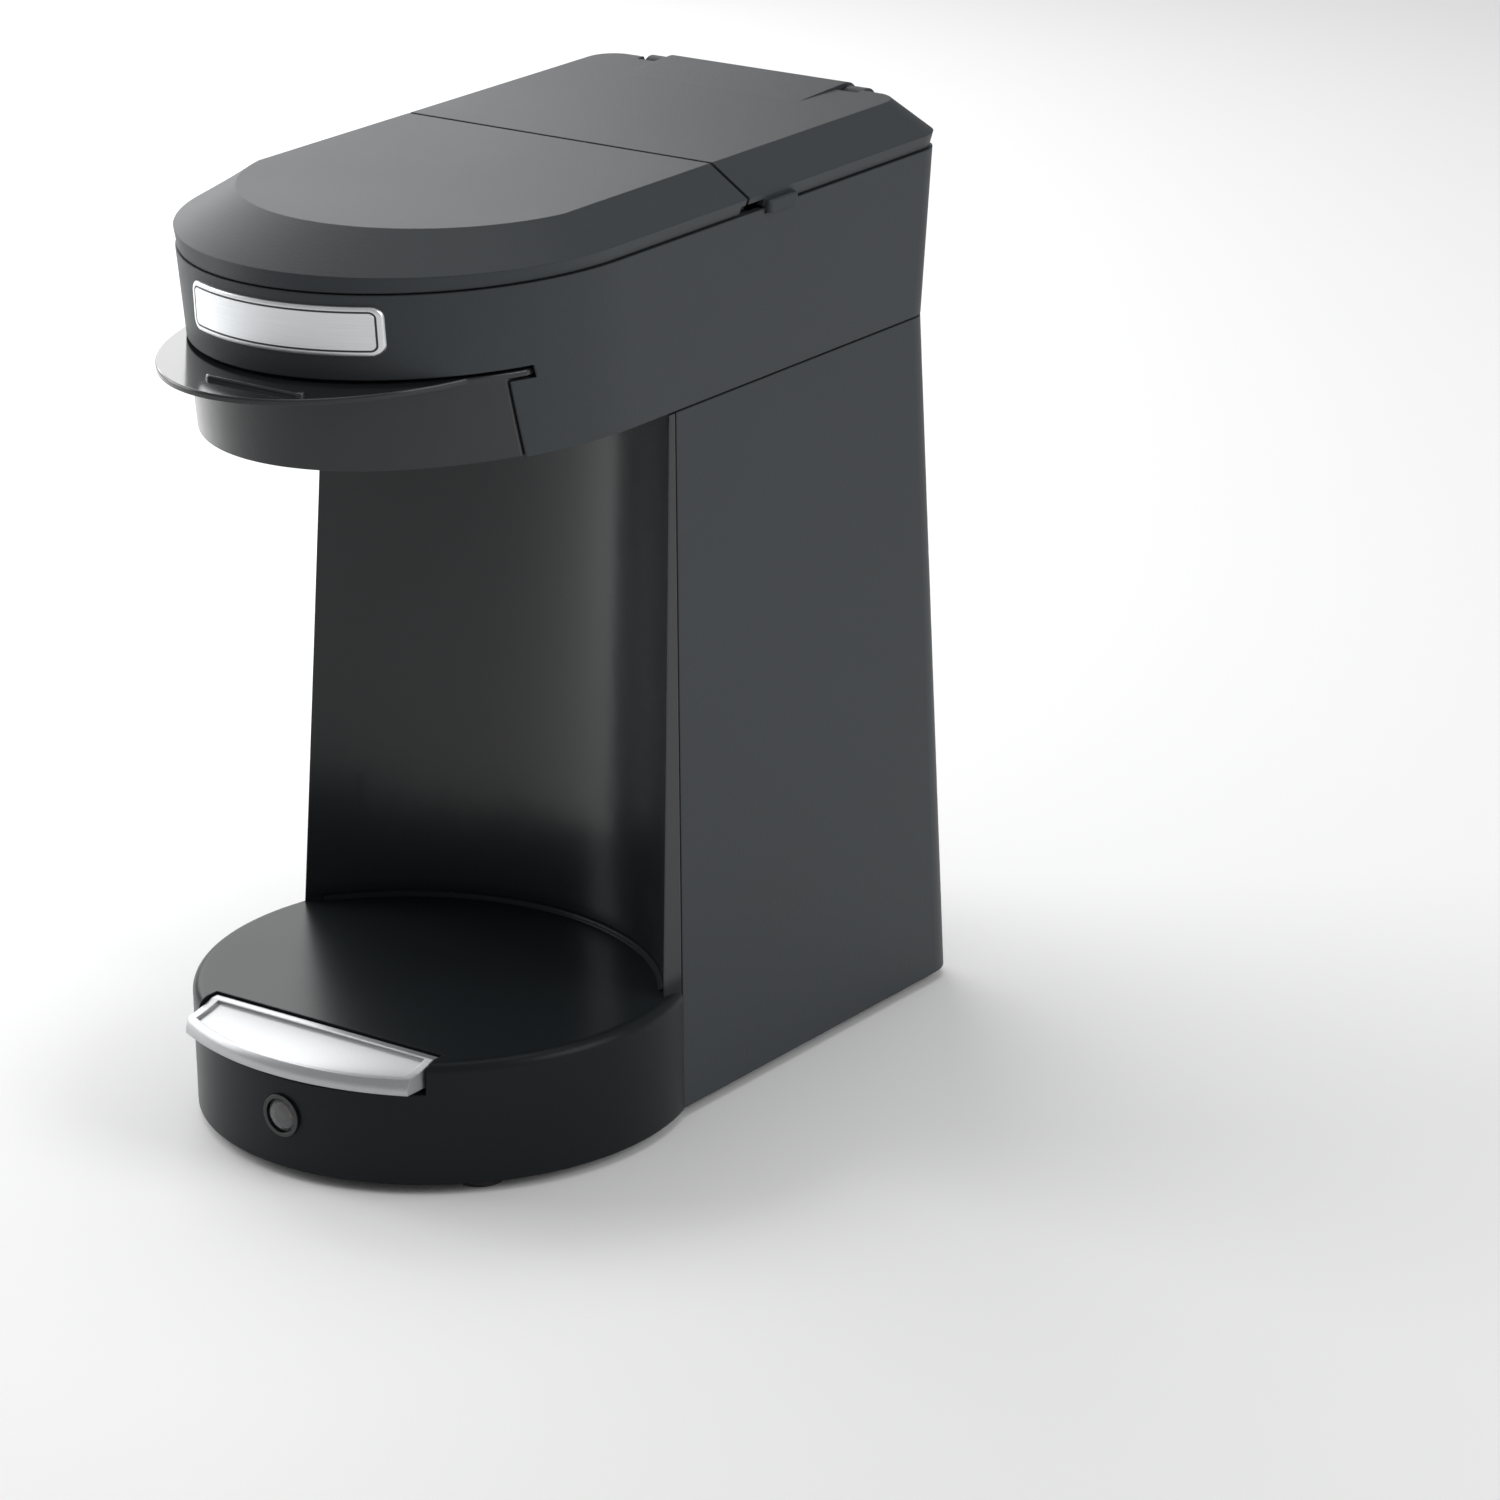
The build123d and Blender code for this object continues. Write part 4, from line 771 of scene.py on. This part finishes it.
def add_sky(stage):
    """Even sky: white to the camera and through clear plastic, dimmer in reflections and as light."""
    world = bpy.data.worlds.new("studio")
    world.use_nodes = True
    sheet = NodeSheet(world.node_tree)
    camera, glossy, through = [sheet.node("ShaderNodeLightPath", {}, {}, f"Is {kind} Ray")
                               for kind in ("Camera", "Glossy", "Transmission")]
    seen = camera.either(through).either(glossy * stage.mirrored_sky)
    sky = world.node_tree.nodes["Background"]
    sheet.put(sky.inputs["Color"], (1.0, 1.0, 1.0, 1.0))
    sheet.put(sky.inputs["Strength"], stage.sky + seen * (1.0 - stage.sky))
    bpy.context.scene.world = world


def add_camera(stage):
    """Camera that looks back along its azimuth and elevation, rolled, then moved right and up."""
    turn, rise, roll = stage.azimuth, stage.elevation, stage.roll
    back = Vector((math.sin(turn) * math.cos(rise), -math.cos(turn) * math.cos(rise), math.sin(rise)))
    level_right = Vector((math.cos(turn), math.sin(turn), 0.0))
    level_up = back.cross(level_right)
    right = level_right * math.cos(roll) + level_up * math.sin(roll)
    up = level_up * math.cos(roll) - level_right * math.sin(roll)
    place = Vector((0.0, 0.0, stage.aim_z)) + back * stage.distance
    place += right * stage.shift_right + up * stage.shift_up
    data = bpy.data.cameras.new("product_camera")
    data.sensor_width = SENSOR_WIDTH
    data.lens = stage.lens
    data.clip_start = NEAREST_VIEW
    camera = bpy.data.objects.new("product_camera", data)
    camera.matrix_world = Matrix.Translation(place) @ Matrix((right, up, back)).transposed().to_4x4()
    bpy.context.scene.collection.objects.link(camera)
    bpy.context.scene.camera = camera


class StudioStage(bpy.types.Operator):
    """Set the pale floor, soft lamps, even sky and camera"""

    bl_idname = "coffee_maker.stage"
    bl_label = "Studio stage"

    def execute(self, context):
        stage = settings().stage
        side = [-FLOOR_REACH, FLOOR_REACH]
        mesh = grid_mesh("floor", np.array([[[x, y, 0.0] for x in side] for y in side]))
        paper = Finish("floor_paper", stage.floor_colour, roughness=0.9)
        paper.vary_colour(paper.noise(8.0), dark=0.995, light=1.0)
        mesh.materials.append(paper.material)
        floor = bpy.data.objects.new("floor", mesh)
        context.scene.collection.objects.link(floor)
        add_sky(stage)
        for lamp in LAMPS:
            add_lamp(*lamp)
        add_camera(stage)
        context.scene.view_settings.view_transform = "Standard"
        return {"FINISHED"}


class CoffeeMakerPanel(bpy.types.Panel):
    """Sidebar list of the operators and their settings"""

    bl_idname = "VIEW3D_PT_coffee_maker"
    bl_label = "Pod Coffee Maker"
    bl_space_type = "VIEW_3D"
    bl_region_type = "UI"
    bl_category = "Coffee Maker"

    def draw(self, context):
        for operator in OPERATORS:
            self.layout.operator(operator.bl_idname)
        for group in (settings().colours, settings().badge, settings().lens, settings().cove,
                      settings().stage):
            box = self.layout.box()
            for name in group.bl_rna.properties.keys():
                if name not in {"rna_type", "name"}:
                    box.prop(group, name)


OPERATORS = (HousingFinish, BasketFinish, WaterPathFinish, HeaterFinish, ControlsFinish, BadgeFinish,
             StudioStage)
GROUPS = (FinishColours, BadgeSizes, LensSizes, CoveSizes, StageSettings, CoffeeMakerSettings)


def register():
    for entry in (*GROUPS, *OPERATORS, CoffeeMakerPanel):
        bpy.utils.register_class(entry)
    bpy.types.Scene.coffee_maker = PointerProperty(type=CoffeeMakerSettings)


def unregister():
    del bpy.types.Scene.coffee_maker
    for entry in reversed((*GROUPS, *OPERATORS, CoffeeMakerPanel)):
        bpy.utils.unregister_class(entry)


def main():
    register()
    bpy.ops.coffee_maker.housing()
    bpy.ops.coffee_maker.basket()
    bpy.ops.coffee_maker.water_path()
    bpy.ops.coffee_maker.heater()
    bpy.ops.coffee_maker.controls()
    bpy.ops.coffee_maker.badge()
    bpy.ops.coffee_maker.stage()


if __name__ == "__main__":
    main()
